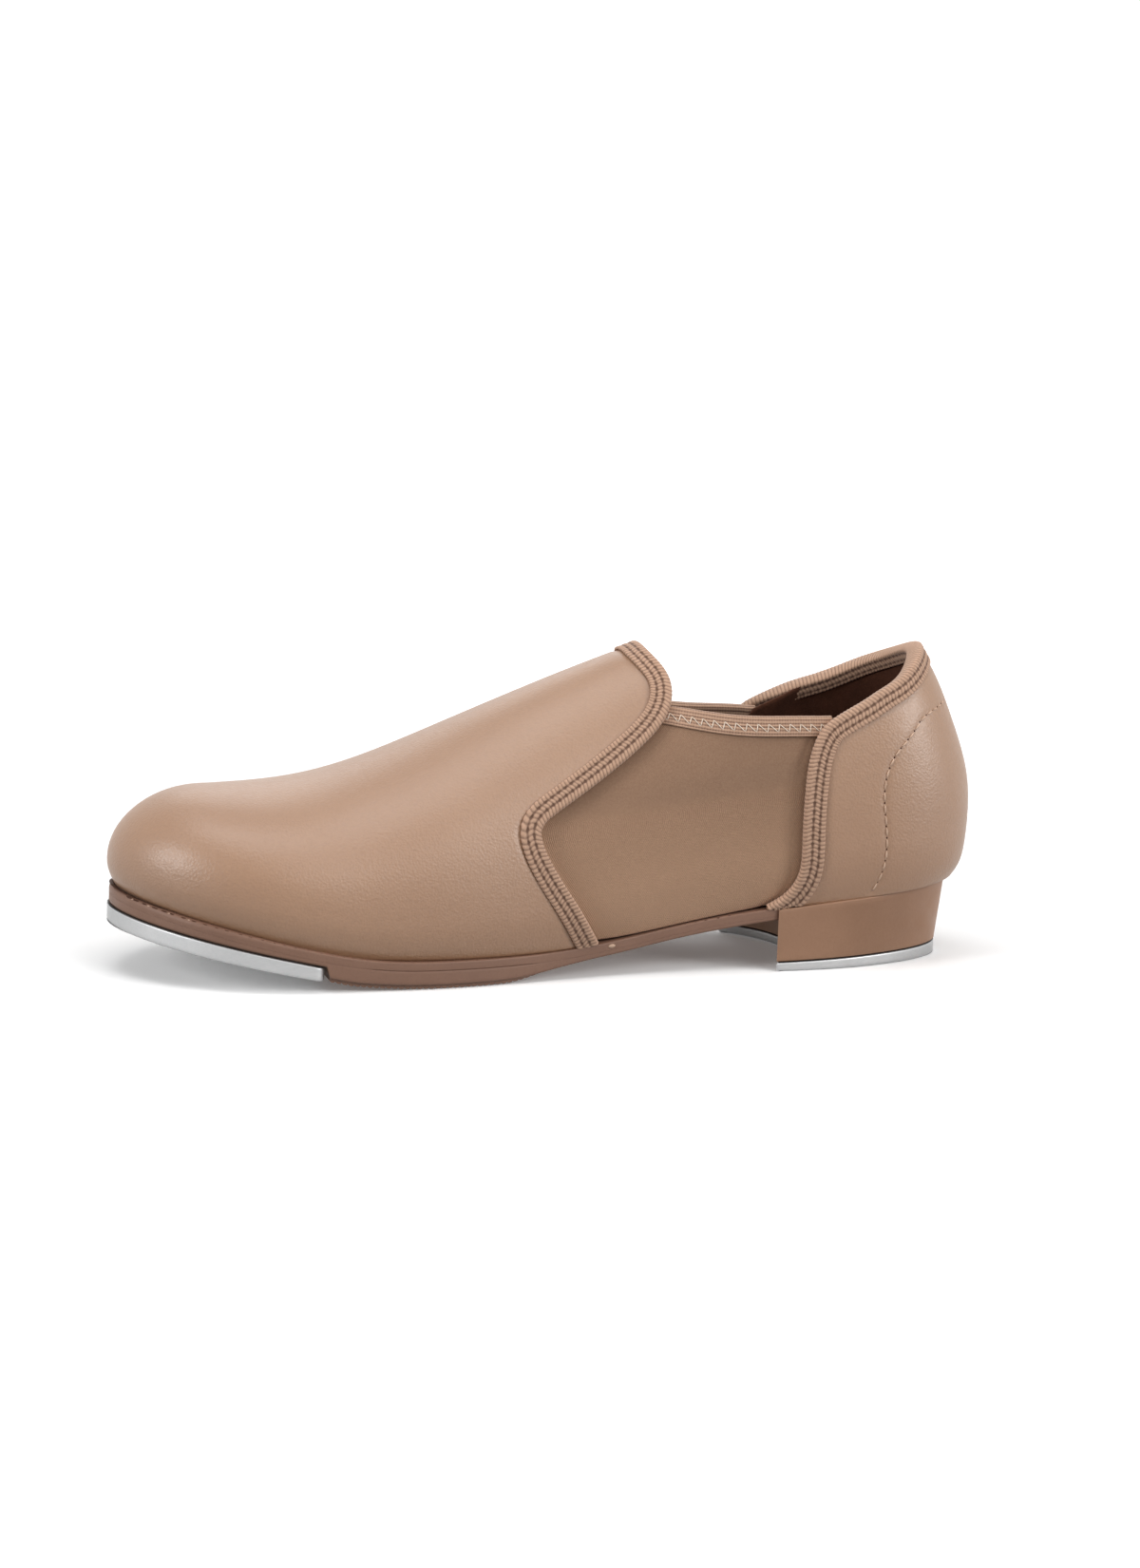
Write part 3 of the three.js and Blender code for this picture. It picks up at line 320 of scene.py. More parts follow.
def gore_patch(side, u, v):
    """The space between the vamp and the quarter, as a Coons patch in the side view."""
    shift = LATERAL_SHIFT if side == LATERAL else 0
    rear_top = quarter_front(GORE_REAR_TOP) + shift + QUARTER_TUCK

    def top_z(x):
        return gore_top[side](x) - GORE_FOLD

    def front(v):
        p = ray_points(vamp_edge(GORE_ANGLE * v), 0, GORE_ANGLE * v)
        x = p[..., 0] - VAMP_TUCK
        return stack(x, np.where(v >= 1, top_z(x), p[..., 2]))

    def rear(v):
        z = lerp(feather(62 + shift), GORE_REAR_TOP, np.minimum(v / 0.95, 1))
        edge = stack(quarter_front(z) + shift + QUARTER_TUCK, z)
        corner = np.array([rear_top, top_z(rear_top)])
        return lerp(edge, corner, smoothstep(v, 0.8, 1)[..., None])

    u, v = np.broadcast_arrays(np.asarray(u, float), np.asarray(v, float))
    zero, one = np.array(0.0), np.array(1.0)
    foot_x = lerp(front(zero)[0], rear(zero)[0], u)
    top_x = lerp(front(one)[0], rear(one)[0], u)
    a, b = u[..., None], v[..., None]
    p = front(v) * (1 - a) + rear(v) * a
    p = p + stack(foot_x, feather(foot_x)) * (1 - b) + stack(top_x, top_z(top_x)) * b
    p = p - front(zero) * (1 - a) * (1 - b) - rear(zero) * a * (1 - b)
    p = p - front(one) * (1 - a) * b - rear(one) * a * b
    return wall_points(side, p[..., 0], p[..., 1])


# ---------------- meshes
def grid_normals(points):
    """Outward unit normals of a grid of points on the last."""
    normal = unit(np.cross(np.gradient(points, axis=0), np.gradient(points, axis=1)))
    core_x = np.clip(points[..., 0], TOE_CENTRE, HEEL_CENTRE)
    core = stack(core_x, centre(core_x), feather(core_x) + 8)
    inwards = np.sum(normal * (core - points), axis=-1) > 0
    return np.where(inwards[..., None], -normal, normal)


def quads(index):
    """Faces over a grid of vertex numbers."""
    return np.stack([index[:-1, :-1], index[1:, :-1], index[1:, 1:], index[:-1, 1:]], -1).reshape(-1, 4)


def shell(outer, inner):
    """Points and faces of the closed solid between two grids of the same shape."""
    rows, columns = outer.shape[:2]
    a = np.arange(rows * columns).reshape(rows, columns)
    b = a + rows * columns
    border = np.concatenate([a[:, 0], a[-1, 1:], a[-2::-1, -1], a[0, -2::-1]])
    rim = quads(np.stack([border, border + rows * columns]))
    points = np.concatenate([outer.reshape(-1, 3), inner.reshape(-1, 3)])
    return points, np.concatenate([quads(a), quads(b)[:, ::-1], rim])


def tube_faces(rings, around):
    """Faces of a closed sweep of rings, with a fan at each end."""
    index = np.arange(rings * around).reshape(rings, around)
    side = quads(np.concatenate([index, index[:, :1]], axis=1))
    return side, index[0], index[-1][::-1]


def add_object(name, data):
    made = bpy.data.objects.new(name, data)
    bpy.context.scene.collection.objects.link(made)
    return made


def piece(name, points, faces, material, slot, replaces=(), values=None, sharp=None, extra=()):
    """Makes a mesh object from points in millimetres, with extra faces of any corner count, and
    rides it on the shoe's body."""
    points = np.asarray(points, float)
    corners = points[faces]
    fan = np.cross(corners[:, 1] - corners[:, 0], corners[:, 2] - corners[:, 0])
    fan += np.cross(corners[:, 2] - corners[:, 0], corners[:, -1] - corners[:, 0])
    volume = np.sum(fan * (corners[:, 0] - points.mean(axis=0)))
    order = faces if volume > 0 else faces[:, ::-1]
    polygons = order.tolist() + [list(e) if volume > 0 else list(e)[::-1] for e in extra]
    mesh = bpy.data.meshes.new(name)
    mesh.from_pydata(to_cad(points).tolist(), [], polygons)
    for key, value in (values or {}).items():
        kind = "FLOAT_VECTOR" if value.ndim == 2 else "FLOAT"
        layer = mesh.attributes.new(key, kind, "POINT")
        layer.data.foreach_set("vector" if value.ndim == 2 else "value", value.ravel().astype(np.float32))
    mesh.validate()
    mesh.shade_smooth()
    if sharp is not None:
        mesh.set_sharp_from_angle(angle=math.radians(sharp))
    mesh.materials.append(material)
    thing = add_object(name, mesh)
    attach(thing, "root")
    if replaces:
        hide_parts(*replaces)
    return thing


# ---------------- materials
class Surface:
    """A Principled material, built node by node."""

    def __init__(self, name, color, roughness, metallic=0.0, **constants):
        self.material = bpy.data.materials.new(name)
        self.material.use_nodes = True
        self.tree = self.material.node_tree
        self.shader = self.tree.nodes["Principled BSDF"]
        self.base = (*color, 1)
        self.shader.inputs["Roughness"].default_value = roughness
        self.shader.inputs["Metallic"].default_value = metallic
        self.shader.inputs["Base Color"].default_value = self.base
        for key, value in constants.items():
            self.shader.inputs[key.replace("_", " ")].default_value = value
        self.place = self.node("ShaderNodeTexCoord").outputs["Object"]
        self.normal = None

    def node(self, kind, settings=None, **inputs):
        made = self.tree.nodes.new(kind)
        for key, value in (settings or {}).items():
            setattr(made, key, value)
        for key, value in inputs.items():
            self.feed(made.inputs[key.replace("_", " ")], value)
        return made

    def feed(self, socket, value):
        if isinstance(value, bpy.types.NodeSocket):
            self.tree.links.new(value, socket)
        else:
            socket.default_value = value

    def math(self, operation, *values):
        made = self.node("ShaderNodeMath", {"operation": operation})
        for socket, value in zip(made.inputs, values):
            self.feed(socket, value)
        return made.outputs["Value"]

    def noise(self, scale, detail=2.0, roughness=0.5, vector=None):
        made = self.node("ShaderNodeTexNoise", Vector=vector or self.place, Scale=scale,
                         Detail=detail, Roughness=roughness)
        return made.outputs["Fac"]

    def cells(self, scale):
        made = self.node("ShaderNodeTexVoronoi", {"feature": "SMOOTH_F1"}, Vector=self.place,
                         Scale=scale, Smoothness=0.4)
        return made.outputs["Distance"]

    def value(self, attribute, part="Fac"):
        return self.node("ShaderNodeAttribute", {"attribute_name": attribute}).outputs[part]

    def spread(self, value, low, high, to_low, to_high):
        made = self.node("ShaderNodeMapRange", Value=value, From_Min=low, From_Max=high,
                         To_Min=to_low, To_Max=to_high)
        return made.outputs["Result"]

    def tint(self, factor, color):
        """Mixes a second colour over what the base colour is so far."""
        mix = self.node("ShaderNodeMix", {"data_type": "RGBA"})
        self.feed(mix.inputs["Factor"], factor)
        self.feed(mix.inputs[6], self.base)
        self.feed(mix.inputs[7], (*color, 1))
        self.base = mix.outputs[2]
        self.feed(self.shader.inputs["Base Color"], self.base)

    def mottle(self, noise, low, high, share, color):
        """Patches of a second colour where the noise, (scale, detail, roughness), is high."""
        self.tint(self.spread(self.noise(*noise), low, high, 0, share), color)

    def bump(self, height, distance, strength=1.0):
        made = self.node("ShaderNodeBump", Height=height, Distance=distance, Strength=strength)
        if self.normal is not None:
            self.feed(made.inputs["Normal"], self.normal)
        self.normal = made.outputs["Normal"]
        self.feed(self.shader.inputs["Normal"], self.normal)

    def rough(self, value, low, high):
        self.feed(self.shader.inputs["Roughness"], self.spread(value, 0.3, 0.7, low, high))


def linear(r, g, b):
    """An sRGB colour given as 0 to 255, as linear values."""
    c = np.array([r, g, b]) / 255
    return tuple(float(v) for v in np.where(c <= 0.04045, c / 12.92, ((c + 0.055) / 1.055) ** 2.4))


def leather_material():
    s = Surface("leather", linear(156, 118, 88), 0.43, Specular_IOR_Level=0.9,
                Sheen_Weight=0.04, Sheen_Roughness=0.4)
    s.mottle((16, 3), 0.35, 0.65, 0.6, linear(148, 110, 81))
    s.mottle((900, 3, 0.6), 0.45, 0.7, 0.3, linear(138, 104, 80))
    s.bump(s.cells(1350), 0.00012, 0.6)
    s.bump(s.noise(2600, 3, 0.6), 0.00008, 0.5)
    s.rough(s.noise(500, 3), 0.41, 0.46)
    return s.material


def neoprene_material():
    s = Surface("neoprene_knit", linear(168, 131, 105), 0.88, Specular_IOR_Level=0.25,
                Sheen_Weight=0.18, Sheen_Roughness=0.5)
    parts = s.node("ShaderNodeSeparateXYZ", Vector=s.value("cloth", "Vector"))
    wander = s.math("MULTIPLY", s.noise(500, 2), 1.1)
    rib = s.math("SINE", s.math("ADD", s.math("MULTIPLY", parts.outputs["X"], 2 * math.pi / 0.55), wander))
    loop = s.math("SINE", s.math("MULTIPLY", parts.outputs["Y"], 2 * math.pi / 0.42))
    knit = s.math("ADD", rib, s.math("MULTIPLY", loop, 0.35))
    s.tint(s.spread(knit, -1.2, 1.2, 0.85, 0), linear(120, 91, 70))
    s.mottle((1500, 3, 0.7), 0.4, 0.7, 0.4, linear(176, 144, 116))
    s.mottle((30, 2), 0.35, 0.7, 0.35, linear(146, 114, 90))
    # Painted light: the knit is made lighter towards its bottom edge, standing in for light bounced up from
    # the floor on to the gore's lower part.
    height = s.node("ShaderNodeSeparateXYZ", Vector=s.place).outputs["Z"]
    s.tint(s.spread(height, 0.052, 0.018, 0, 0.65), linear(200, 160, 131))
    s.bump(knit, 0.00007, 0.7)
    s.bump(s.noise(1800, 3, 0.7), 0.00008, 0.5)
    return s.material


def tape_material():
    s = Surface("woven_tape", linear(194, 157, 132), 0.82, Specular_IOR_Level=0.3,
                Sheen_Weight=0.2, Sheen_Roughness=0.5)
    s.mottle((1100, 3, 0.7), 0.4, 0.68, 0.55, linear(166, 131, 107))
    # Painted shade: the tape is darkened where its modelled relief is low, between the ribs and in the
    # stitch holes.
    s.tint(s.spread(s.value("groove_shade"), 0.1, 0.75, 0, 0.95), linear(96, 68, 52))
    s.bump(s.noise(3200, 3, 0.7), 0.0001, 0.6)
    return s.material


def lining_material():
    s = Surface("brushed_lining", linear(84, 50, 36), 0.96, Specular_IOR_Level=0.12,
                Sheen_Weight=0.2, Sheen_Roughness=0.5, Sheen_Tint=(0.55, 0.33, 0.24, 1))
    s.mottle((240, 4, 0.7), 0.35, 0.7, 0.7, linear(60, 34, 24))
    s.mottle((2200, 3, 0.8), 0.5, 0.75, 0.5, linear(112, 74, 56))
    s.bump(s.noise(1500, 4, 0.8), 0.0003, 0.7)
    return s.material


def sole_material(name="sole_composite", tone=(131, 98, 80), dark=(115, 84, 68)):
    s = Surface(name, linear(*tone), 0.5, Specular_IOR_Level=0.4)
    s.mottle((45, 4, 0.6), 0.35, 0.7, 0.6, linear(*dark))
    s.mottle((1300, 2), 0.5, 0.75, 0.3, linear(*dark))
    s.bump(s.noise(900, 3, 0.6), 0.00008, 0.5)
    s.rough(s.noise(120, 3), 0.42, 0.6)
    return s.material


def aluminium_material():
    s = Surface("satin_aluminium", (0.43, 0.433, 0.435), 0.45, 0.9)
    streaks = s.node("ShaderNodeMapping", Vector=s.place, Scale=(300, 2600, 2600)).outputs["Vector"]
    lines = s.noise(1.0, 3, 0.6, streaks)
    s.tint(s.spread(lines, 0.35, 0.7, 0, 0.35), (0.33, 0.335, 0.34))
    s.mottle((70, 3), 0.45, 0.75, 0.4, (0.5, 0.5, 0.5))
    s.bump(lines, 0.00003, 0.4)
    s.rough(s.noise(400, 3), 0.36, 0.5)
    return s.material


def steel_material():
    s = Surface("screw_steel", (0.5, 0.5, 0.51), 0.35, 1.0)
    s.mottle((900, 3), 0.4, 0.7, 0.5, (0.36, 0.36, 0.37))
    s.bump(s.noise(2200, 2), 0.00003, 0.4)
    s.rough(s.noise(700, 2), 0.28, 0.5)
    return s.material


def plain_fibre(name, tone, dark, roughness=0.9):
    s = Surface(name, linear(*tone), roughness, Specular_IOR_Level=0.2)
    s.mottle((700, 4, 0.7), 0.4, 0.7, 0.7, linear(*dark))
    s.bump(s.noise(1600, 3, 0.7), 0.0001, 0.6)
    return s.material


leather = leather_material()
neoprene = neoprene_material()
tape = tape_material()
lining = lining_material()
sole = sole_material()
stacked = sole_material("heel_composite", (155, 117, 91), (139, 103, 79))
tread = sole_material("tread_rubber", (130, 97, 79), (110, 80, 63))
aluminium = aluminium_material()
steel = steel_material()
gasket = plain_fibre("sound_board", (48, 37, 31), (30, 23, 20))
board = plain_fibre("fibre_board", (150, 125, 96), (120, 96, 70))
foam = plain_fibre("filler_foam", (109, 75, 58), (86, 58, 44))
thread_tan = plain_fibre("thread_tan", (206, 176, 154), (176, 144, 120), 0.8)
thread_pale = plain_fibre("thread_pale", (236, 222, 206), (210, 190, 170), 0.75)
# Painted shade: a dark brown standing for the shade in the needle holes of the counter line, and used for
# the seam's dark stitches round the sole.
shadow_hole = plain_fibre("stitch_hole_shade", (82, 54, 42), (60, 38, 30))


# ---------------- upper
def undulation(points, size, amount):
    """A slight unevenness, as smooth waves of about the given size."""
    waves = 6
    total = np.zeros(points.shape[:-1])
    for _ in range(waves):
        direction = unit(rng.normal(size=3)) / size * rng.uniform(0.7, 1.4) * 2 * math.pi
        total += np.sin(points @ direction + rng.uniform(0, 6.28))
    return total * amount / waves


def seam_dip(distance):
    """How far the leather is drawn down beside a binding."""
    return 0.3 * np.exp(-(((distance - TAPE_WIDTH - 0.2) / 1.3) ** 2))


def patch_grid(rows, columns, u_span=(0, 1), v_span=(0, 1)):
    return np.meshgrid(np.linspace(*u_span, rows), np.linspace(*v_span, columns), indexing="ij")


def sheet(points, thickness, depth, relief=0.0):
    """Outer and inner faces of a sheet under the points of a patch, and the patch's normals."""
    normals = grid_normals(points)
    depth = np.broadcast_to(depth, points.shape[:2])[..., None]
    relief = np.broadcast_to(relief, points.shape[:2])[..., None]
    return points + normals * (relief - depth), points - normals * (depth + thickness), normals


def sheet_piece(name, faces, material, slot, replaces=(), values=None):
    outer, inner = faces[:2]
    piece(name, *shell(outer, inner), material, slot, replaces, values)


def build_vamp():
    u, v = patch_grid(150, 230)
    points = vamp_patch(u, v)
    run = along(points)
    relief = undulation(points, 38, 0.16) - seam_dip(run[-1] - run)
    sheet_piece("vamp_leather", sheet(points, LEATHER, 0.0, relief), leather, "leather", ["vamp"])
    u, v = patch_grid(70, 100, (0.02, 1), (0.02, 0.98))
    short = 1 + 10 * smoothstep(np.abs(90 - vamp_angle(v)), 7, 12)
    inside = sheet(vamp_patch(u, v, short), LINING, LINING_DEPTH)
    sheet_piece("vamp_lining_suede", inside, lining, "lining_suede", ["vamp_lining"])


counter_line = Spline((22.2, 90.6), (25.7, 92.5), (31.3, 94.2), (40, 94.4), (48.5, 93.4), (53.8, 93.2),
                      (59, 94.2), (64.7, 97.3), (71.1, 103.3), (75.7, 109.6), (77.6, 116))


def counter_path(side):
    """The counter line on one side, from the feather line to the topline."""
    z = np.linspace(23.2, 78.6, 300)
    x = np.minimum(counter_line(z), back(z) - 2.5)
    return wall_points(side, x, z)


def build_quarter():
    u, v = patch_grid(340, 110)
    points = quarter_patch(u, v)
    down = along(points.swapaxes(0, 1)).swapaxes(0, 1)
    round_way = along(points)
    edge = np.minimum(down[:, -1:] - down, np.minimum(round_way, round_way[-1] - round_way))
    path = np.concatenate([counter_path(MEDIAL)[::3], counter_path(LATERAL)[::3]])
    near = np.full(edge.shape, 99.0)
    for p in path:
        near = np.minimum(near, np.linalg.norm(points - p, axis=-1))
    relief = undulation(points, 34, 0.14) - seam_dip(edge) - 0.28 * np.exp(-((near / 0.9) ** 2))
    sheet_piece("quarter_leather", sheet(points, LEATHER, 0.0, relief), leather, "leather", ["quarter"])
    u, v = patch_grid(120, 50, (0.012, 0.988), (0.03, 1))
    sunk = LINING_DEPTH + 2.4 * (1 - smoothstep(np.minimum(u, 1 - u), 0.06, 0.15))
    inside = sheet(quarter_patch(u, v), LINING, sunk)
    sheet_piece("quarter_lining_suede", inside, lining, "lining_suede", ["quarter_lining"])


def gore_depth(u):
    shown = np.clip((u - 0.09) / 0.8, 0, 1)
    return GORE_DEPTH - GORE_BULGE * (4 * shown * (1 - shown)) ** 0.7


def build_gore(side, name):
    u, v = patch_grid(150, 120)
    points = gore_patch(side, u, v)
    knit = sheet(points, GORE, gore_depth(u) - undulation(points, 30, 0.15))
    outer, inner, normals = knit
    cloth = stack(along(outer), along(outer.swapaxes(0, 1)).swapaxes(0, 1), 0 * u)
    cloth = np.concatenate([cloth.reshape(-1, 3)] * 2)
    sheet_piece(f"gore_{name}_knit", knit, neoprene, "neoprene", [f"gore_{name}"], {"cloth": cloth})
    pick = (slice(2, -2, 4), slice(2, -3, 4))
    outer = inner[pick] - normals[pick] * 0.06
    sheet_piece(f"gore_{name}_lining", (outer, outer - normals[pick] * 0.4), lining, "lining_suede")


# ---------------- bindings
class Strip:
    """The surface beside an edge, by distance along it and distance in from it, with its normals."""

    def __init__(self, line, inward, onto, span=(0, 1), ease=0):
        u = np.linspace(*span, 1200)
        run = along(line(u))
        self.length = run[-1]
        self.s = np.linspace(0, self.length, int(self.length / 0.8))
        u = np.interp(self.s, run, u)
        edge = line(u)
        for _ in range(ease):
            edge[1:-1] = (edge[:-2] + 2 * edge[1:-1] + edge[2:]) / 4
        tangent = unit(np.gradient(edge, axis=0))
        side = unit(np.cross(np.cross(tangent, inward(u) - edge), tangent))
        near = unit(onto(self.lifted(edge + side)) - onto(edge))
        flat = unit(near - np.sum(near * tangent, axis=-1, keepdims=True) * tangent)
        self.t = np.linspace(-2, 8, 26)  # from 2 mm outside the edge to 8 mm in
        bare = edge[:, None] + flat[:, None] * self.t[None, :, None]
        self.points = onto(self.lifted(bare))
        self.normals = grid_normals(self.points)

    @staticmethod
    def lifted(points):
        floor = feather(points[..., 0]) + 0.15
        z = points[..., 2]
        return np.concatenate([points[..., :2], np.where(z > floor, z, floor)[..., None]], axis=-1)

    def at(self, s, t):
        """Surface points and normals, by linear steps between the stored ones."""
        i = np.clip(s / self.s[1], 0, len(self.s) - 1.001)
        j = np.clip((t - self.t[0]) / (self.t[1] - self.t[0]), 0, len(self.t) - 1.001)
        i0, j0 = i.astype(int), j.astype(int)
        a, b = (i - i0)[..., None], (j - j0)[..., None]

        def mixed(table):
            low = table[i0, j0] * (1 - b) + table[i0, j0 + 1] * b
            high = table[i0 + 1, j0] * (1 - b) + table[i0 + 1, j0 + 1] * b
            return low * (1 - a) + high * a

        return mixed(self.points), unit(mixed(self.normals))


def tape_outline(inner, width=TAPE_WIDTH, inner_width=4.0, thickness=0.5, fold=0.8):
    """A tape folded over an edge, as (distance in from it, depth): the side that shows, then its back.
    The last number is how far along the shown side the fold ends."""
    outer = -0.05
    corner = 0.5 * thickness
    turn = np.linspace(0, math.pi / 2, 4)
    edge = stack(width - corner * (1 - np.cos(turn)), outer - thickness + corner * (1 - np.sin(turn)))
    flat = np.arange(width - corner - 0.3, 0.2, -0.3)
    middle = (outer + inner) / 2
    reach = (inner - outer) / 2 + thickness
    bend = np.linspace(0, math.pi, 14)
    shown = np.concatenate([
        [[width, outer]],
        edge,
        stack(flat, outer - thickness),
        stack(-fold * np.sin(bend), middle - reach * np.cos(bend)),
        stack(np.arange(0.4, inner_width, 0.4), inner + thickness),
        [[inner_width, inner + thickness * 0.6]],
    ])
    back_side = np.array([[inner_width, inner], [0.1, inner], [0.1, outer], [width / 2, outer]])
    fold_end = along(shown)[len(edge) + len(flat) + len(bend)]
    return shown, back_side, fold_end


def ribbed_relief(s, p, fold_end):
    """Cross ribs, parted by rows of stitch holes."""
    lean = 0.3 * np.sin(1.2 * p) + 0.1 * np.sin(s / 7)
    bead = np.abs(np.sin(math.pi * (s / RIB_PITCH + lean))) ** 0.7
    height = 0.3 + 0.7 * bead
    for k, row in enumerate((2.0, 4.0, fold_end + 0.9, fold_end + 2.9)):
        ds = ((s / (2 * RIB_PITCH) + 0.5 * (k % 2)) % 1 - 0.5) * 2 * RIB_PITCH
        height = height * (1 - 0.6 * np.exp(-(((p - row) / 0.34) ** 2)))
        height = height - 0.9 * np.exp(-((ds / 0.45) ** 2) - ((p - row) / 0.34) ** 2)
    return height


def corded_relief(s, p, _):
    """Cords along the tape, 1 mm apart."""
    return np.abs(np.sin(math.pi * p)) ** 0.8 + 0.12 * np.sin(2 * math.pi * s / 0.8)


def build_binding(name, strip, thin, thick, blend, relief, height, pitch, replaces):
    """Sweeps a folded tape along a strip; blend(share) says where it is the thick outline."""
    count = int(strip.length / pitch)
    s = np.linspace(0, strip.length, count + 1)[:, None]
    over = blend(s / strip.length)[..., None]
    shown = lerp(thin[0], thick[0], over)
    back_side = lerp(thin[1], thick[1], over)
    p = along(thin[0])[None]
    lift = relief(s, p, thin[2])
    way = np.gradient(shown, axis=1)
    out = unit(stack(-way[..., 1], way[..., 0]))
    ring = np.concatenate([shown + out * (lift * height)[..., None], back_side], axis=1)
    base, normal = strip.at(s + 0 * ring[..., 0], ring[..., 0])
    points = base - normal * ring[..., 1:]
    side, first, last = tube_faces(count + 1, ring.shape[1])
    # Painted shade: the lower the relief at a point of the tape's shown side, the darker that point is
    # painted, as shade between the ribs and in the stitch holes.
    groove_shade = np.zeros(ring.shape[:2])
    groove_shade[:, : lift.shape[1]] = np.clip(1 - lift, 0, 1)
    piece(name, points.reshape(-1, 3), side, tape, "binding_tape", replaces, {"groove_shade": groove_shade.ravel()},
          extra=[first, last])


def build_bindings():
    over_leather, over_all = tape_outline(LEATHER), tape_outline(LINING_DEPTH + LINING)
    ribs = (ribbed_relief, 0.27, RIB_PITCH / 6)
    vamp_strip = Strip(lambda u: ray_points(vamp_edge(180 * u), 0, 180 * u),
                       lambda u: vamp_patch(0.9, u), onto_vamp, (0.003, 0.997))
    on_tongue = lambda share: 1 - smoothstep(np.abs(share - 0.5), 0.06, 0.12)
    build_binding("vamp_edge_binding", vamp_strip, over_leather, over_all, on_tongue, *ribs,
                  ["vamp_binding"])

    share = 0.26  # of the quarter's binding, up each front edge

    def quarter_line(u, depth=0.0, drop=1.0):
        rise_v = np.where(u < share, u / share, (1 - u) / share)
        round_u = np.clip((u - share) / (1 - 2 * share), 0, 1)
        on_side = (u < share) | (u > 1 - share)
        side_u = np.where(u < 0.5, depth, 1 - depth)
        return np.where(on_side[..., None], quarter_patch(side_u, np.clip(rise_v, 0, 1)),
                        quarter_patch(round_u, np.full(u.shape, drop)))

    quarter_strip = Strip(quarter_line, lambda u: quarter_line(u, 0.12, 0.8), onto_wall, (0.004, 0.996), 22)
    round_opening = lambda s: 1 - smoothstep(np.abs(s - 0.5), 0.2, 0.26)
    build_binding("quarter_edge_binding", quarter_strip, over_leather, over_all, round_opening, *ribs,
                  ["quarter_binding"])
    for name, side in SIDES:
        build_gore_binding(side, name)


def build_gore_binding(side, name):
    span = (0.045, 0.955)  # where the vamp and the quarter leave the gore's top free
    strip = Strip(lambda u: gore_patch(side, u, np.ones(u.shape)),
                  lambda u: gore_patch(side, u, 0.8 + 0 * u), onto_wall, span)
    depth = gore_depth(np.linspace(*span, len(strip.s)))
    strip.points = strip.points - strip.normals * depth[:, None, None]
    fold = tape_outline(GORE + 0.45, 5.3, 4.6, 0.5, 0.65)
    build_binding(f"gore_{name}_top_binding", strip, fold, fold, lambda share: share * 0, corded_relief,
                  0.2, 0.25, [f"gore_binding_{name}"])
    low, high = 4.2, 1.8
    places = []
    for k in range(int(strip.length / ZIGZAG_PITCH)):
        start = (k + 0.3) * ZIGZAG_PITCH
        peak, end = start + 0.1 * ZIGZAG_PITCH, start + ZIGZAG_PITCH
        places += [((start, low), (peak, high)), ((peak, high), (end, low))]
    build_threads(f"gore_{name}_zigzag_stitches", strip, places, 0.14, -0.72, thread_pale)


def build_threads(name, strip, places, radius, depth, material, arch=0.12, slot="binding_tape"):
    """One thread for each pair of (along, in) places on a strip, its ends drawn in."""
    rings, around = 9, 8
    step = np.linspace(0, 1, rings)
    turn = circle(around)
    all_points, all_faces, ends = [], [], []
    for number, (start, end) in enumerate(places):
        s = lerp(start[0], end[0], step)
        t = lerp(start[1], end[1], step)
        base, normal = strip.at(s, t)
        lift = arch * np.sin(math.pi * step) ** 0.6 - 0.25 * radius
        core = base + normal * (lift - depth)[:, None]
        way = unit(np.gradient(core, axis=0))
        across = unit(np.cross(way, normal))
        up = np.cross(across, way)
        width = radius * np.clip(np.sin(math.pi * np.clip(step, 0.03, 0.97)) ** 0.35, 0.3, 1)
        ring = core[:, None] + width[:, None, None] * (
            across[:, None] * np.cos(turn)[None, :, None] + up[:, None] * np.sin(turn)[None, :, None])
        side, first, last = tube_faces(rings, around)
        shift = number * rings * around
        all_points.append(ring.reshape(-1, 3))
        all_faces.append(side + shift)
        ends += [first + shift, last + shift]
    piece(name, np.concatenate(all_points), np.concatenate(all_faces), material, slot, extra=ends)


class PathStrip:
    """A line on the wall of the last, with the same interface as a strip."""

    def __init__(self, path):
        run = along(path)
        self.length = run[-1]
        self.s = np.linspace(0, self.length, 400)
        self.line = np.stack([np.interp(self.s, run, path[:, k]) for k in range(3)], axis=-1)
        way = unit(np.gradient(self.line, axis=0))
        core_x = np.clip(self.line[:, 0], TOE_CENTRE, HEEL_CENTRE)
        out = self.line - stack(core_x, centre(core_x), self.line[:, 2])
        self.normal = unit(out - np.sum(out * way, axis=-1, keepdims=True) * way)
        self.across = np.cross(way, self.normal)

    def at(self, s, t):
        def pick(table):
            return np.stack([np.interp(s, self.s, table[:, k]) for k in range(3)], axis=-1)

        return pick(self.line) + pick(self.across) * np.asarray(t)[..., None], unit(pick(self.normal))


def build_counter_stitches():
    for name, side in SIDES:
        strip = PathStrip(counter_path(side))
        starts = [(k + 0.5) * COUNTER_PITCH for k in range(int(strip.length / COUNTER_PITCH))]
        stitches = [((s - 1.15, 0.0), (s + 1.15, 0.05)) for s in starts]
        build_threads(f"counter_stitches_{name}", strip, stitches, 0.3, 0.2, thread_tan, 0.2, "leather")
        # Painted shade: small dark capsules between the stitches, standing for the shade in the needle
        # holes.
        holes = [((s + 1.4, -0.05), (s + 2.05, 0.05)) for s in starts[:-1]]
        build_threads(f"counter_hole_shades_{name}", strip, holes, 0.36, 0.42, shadow_hole, 0.05, "leather")


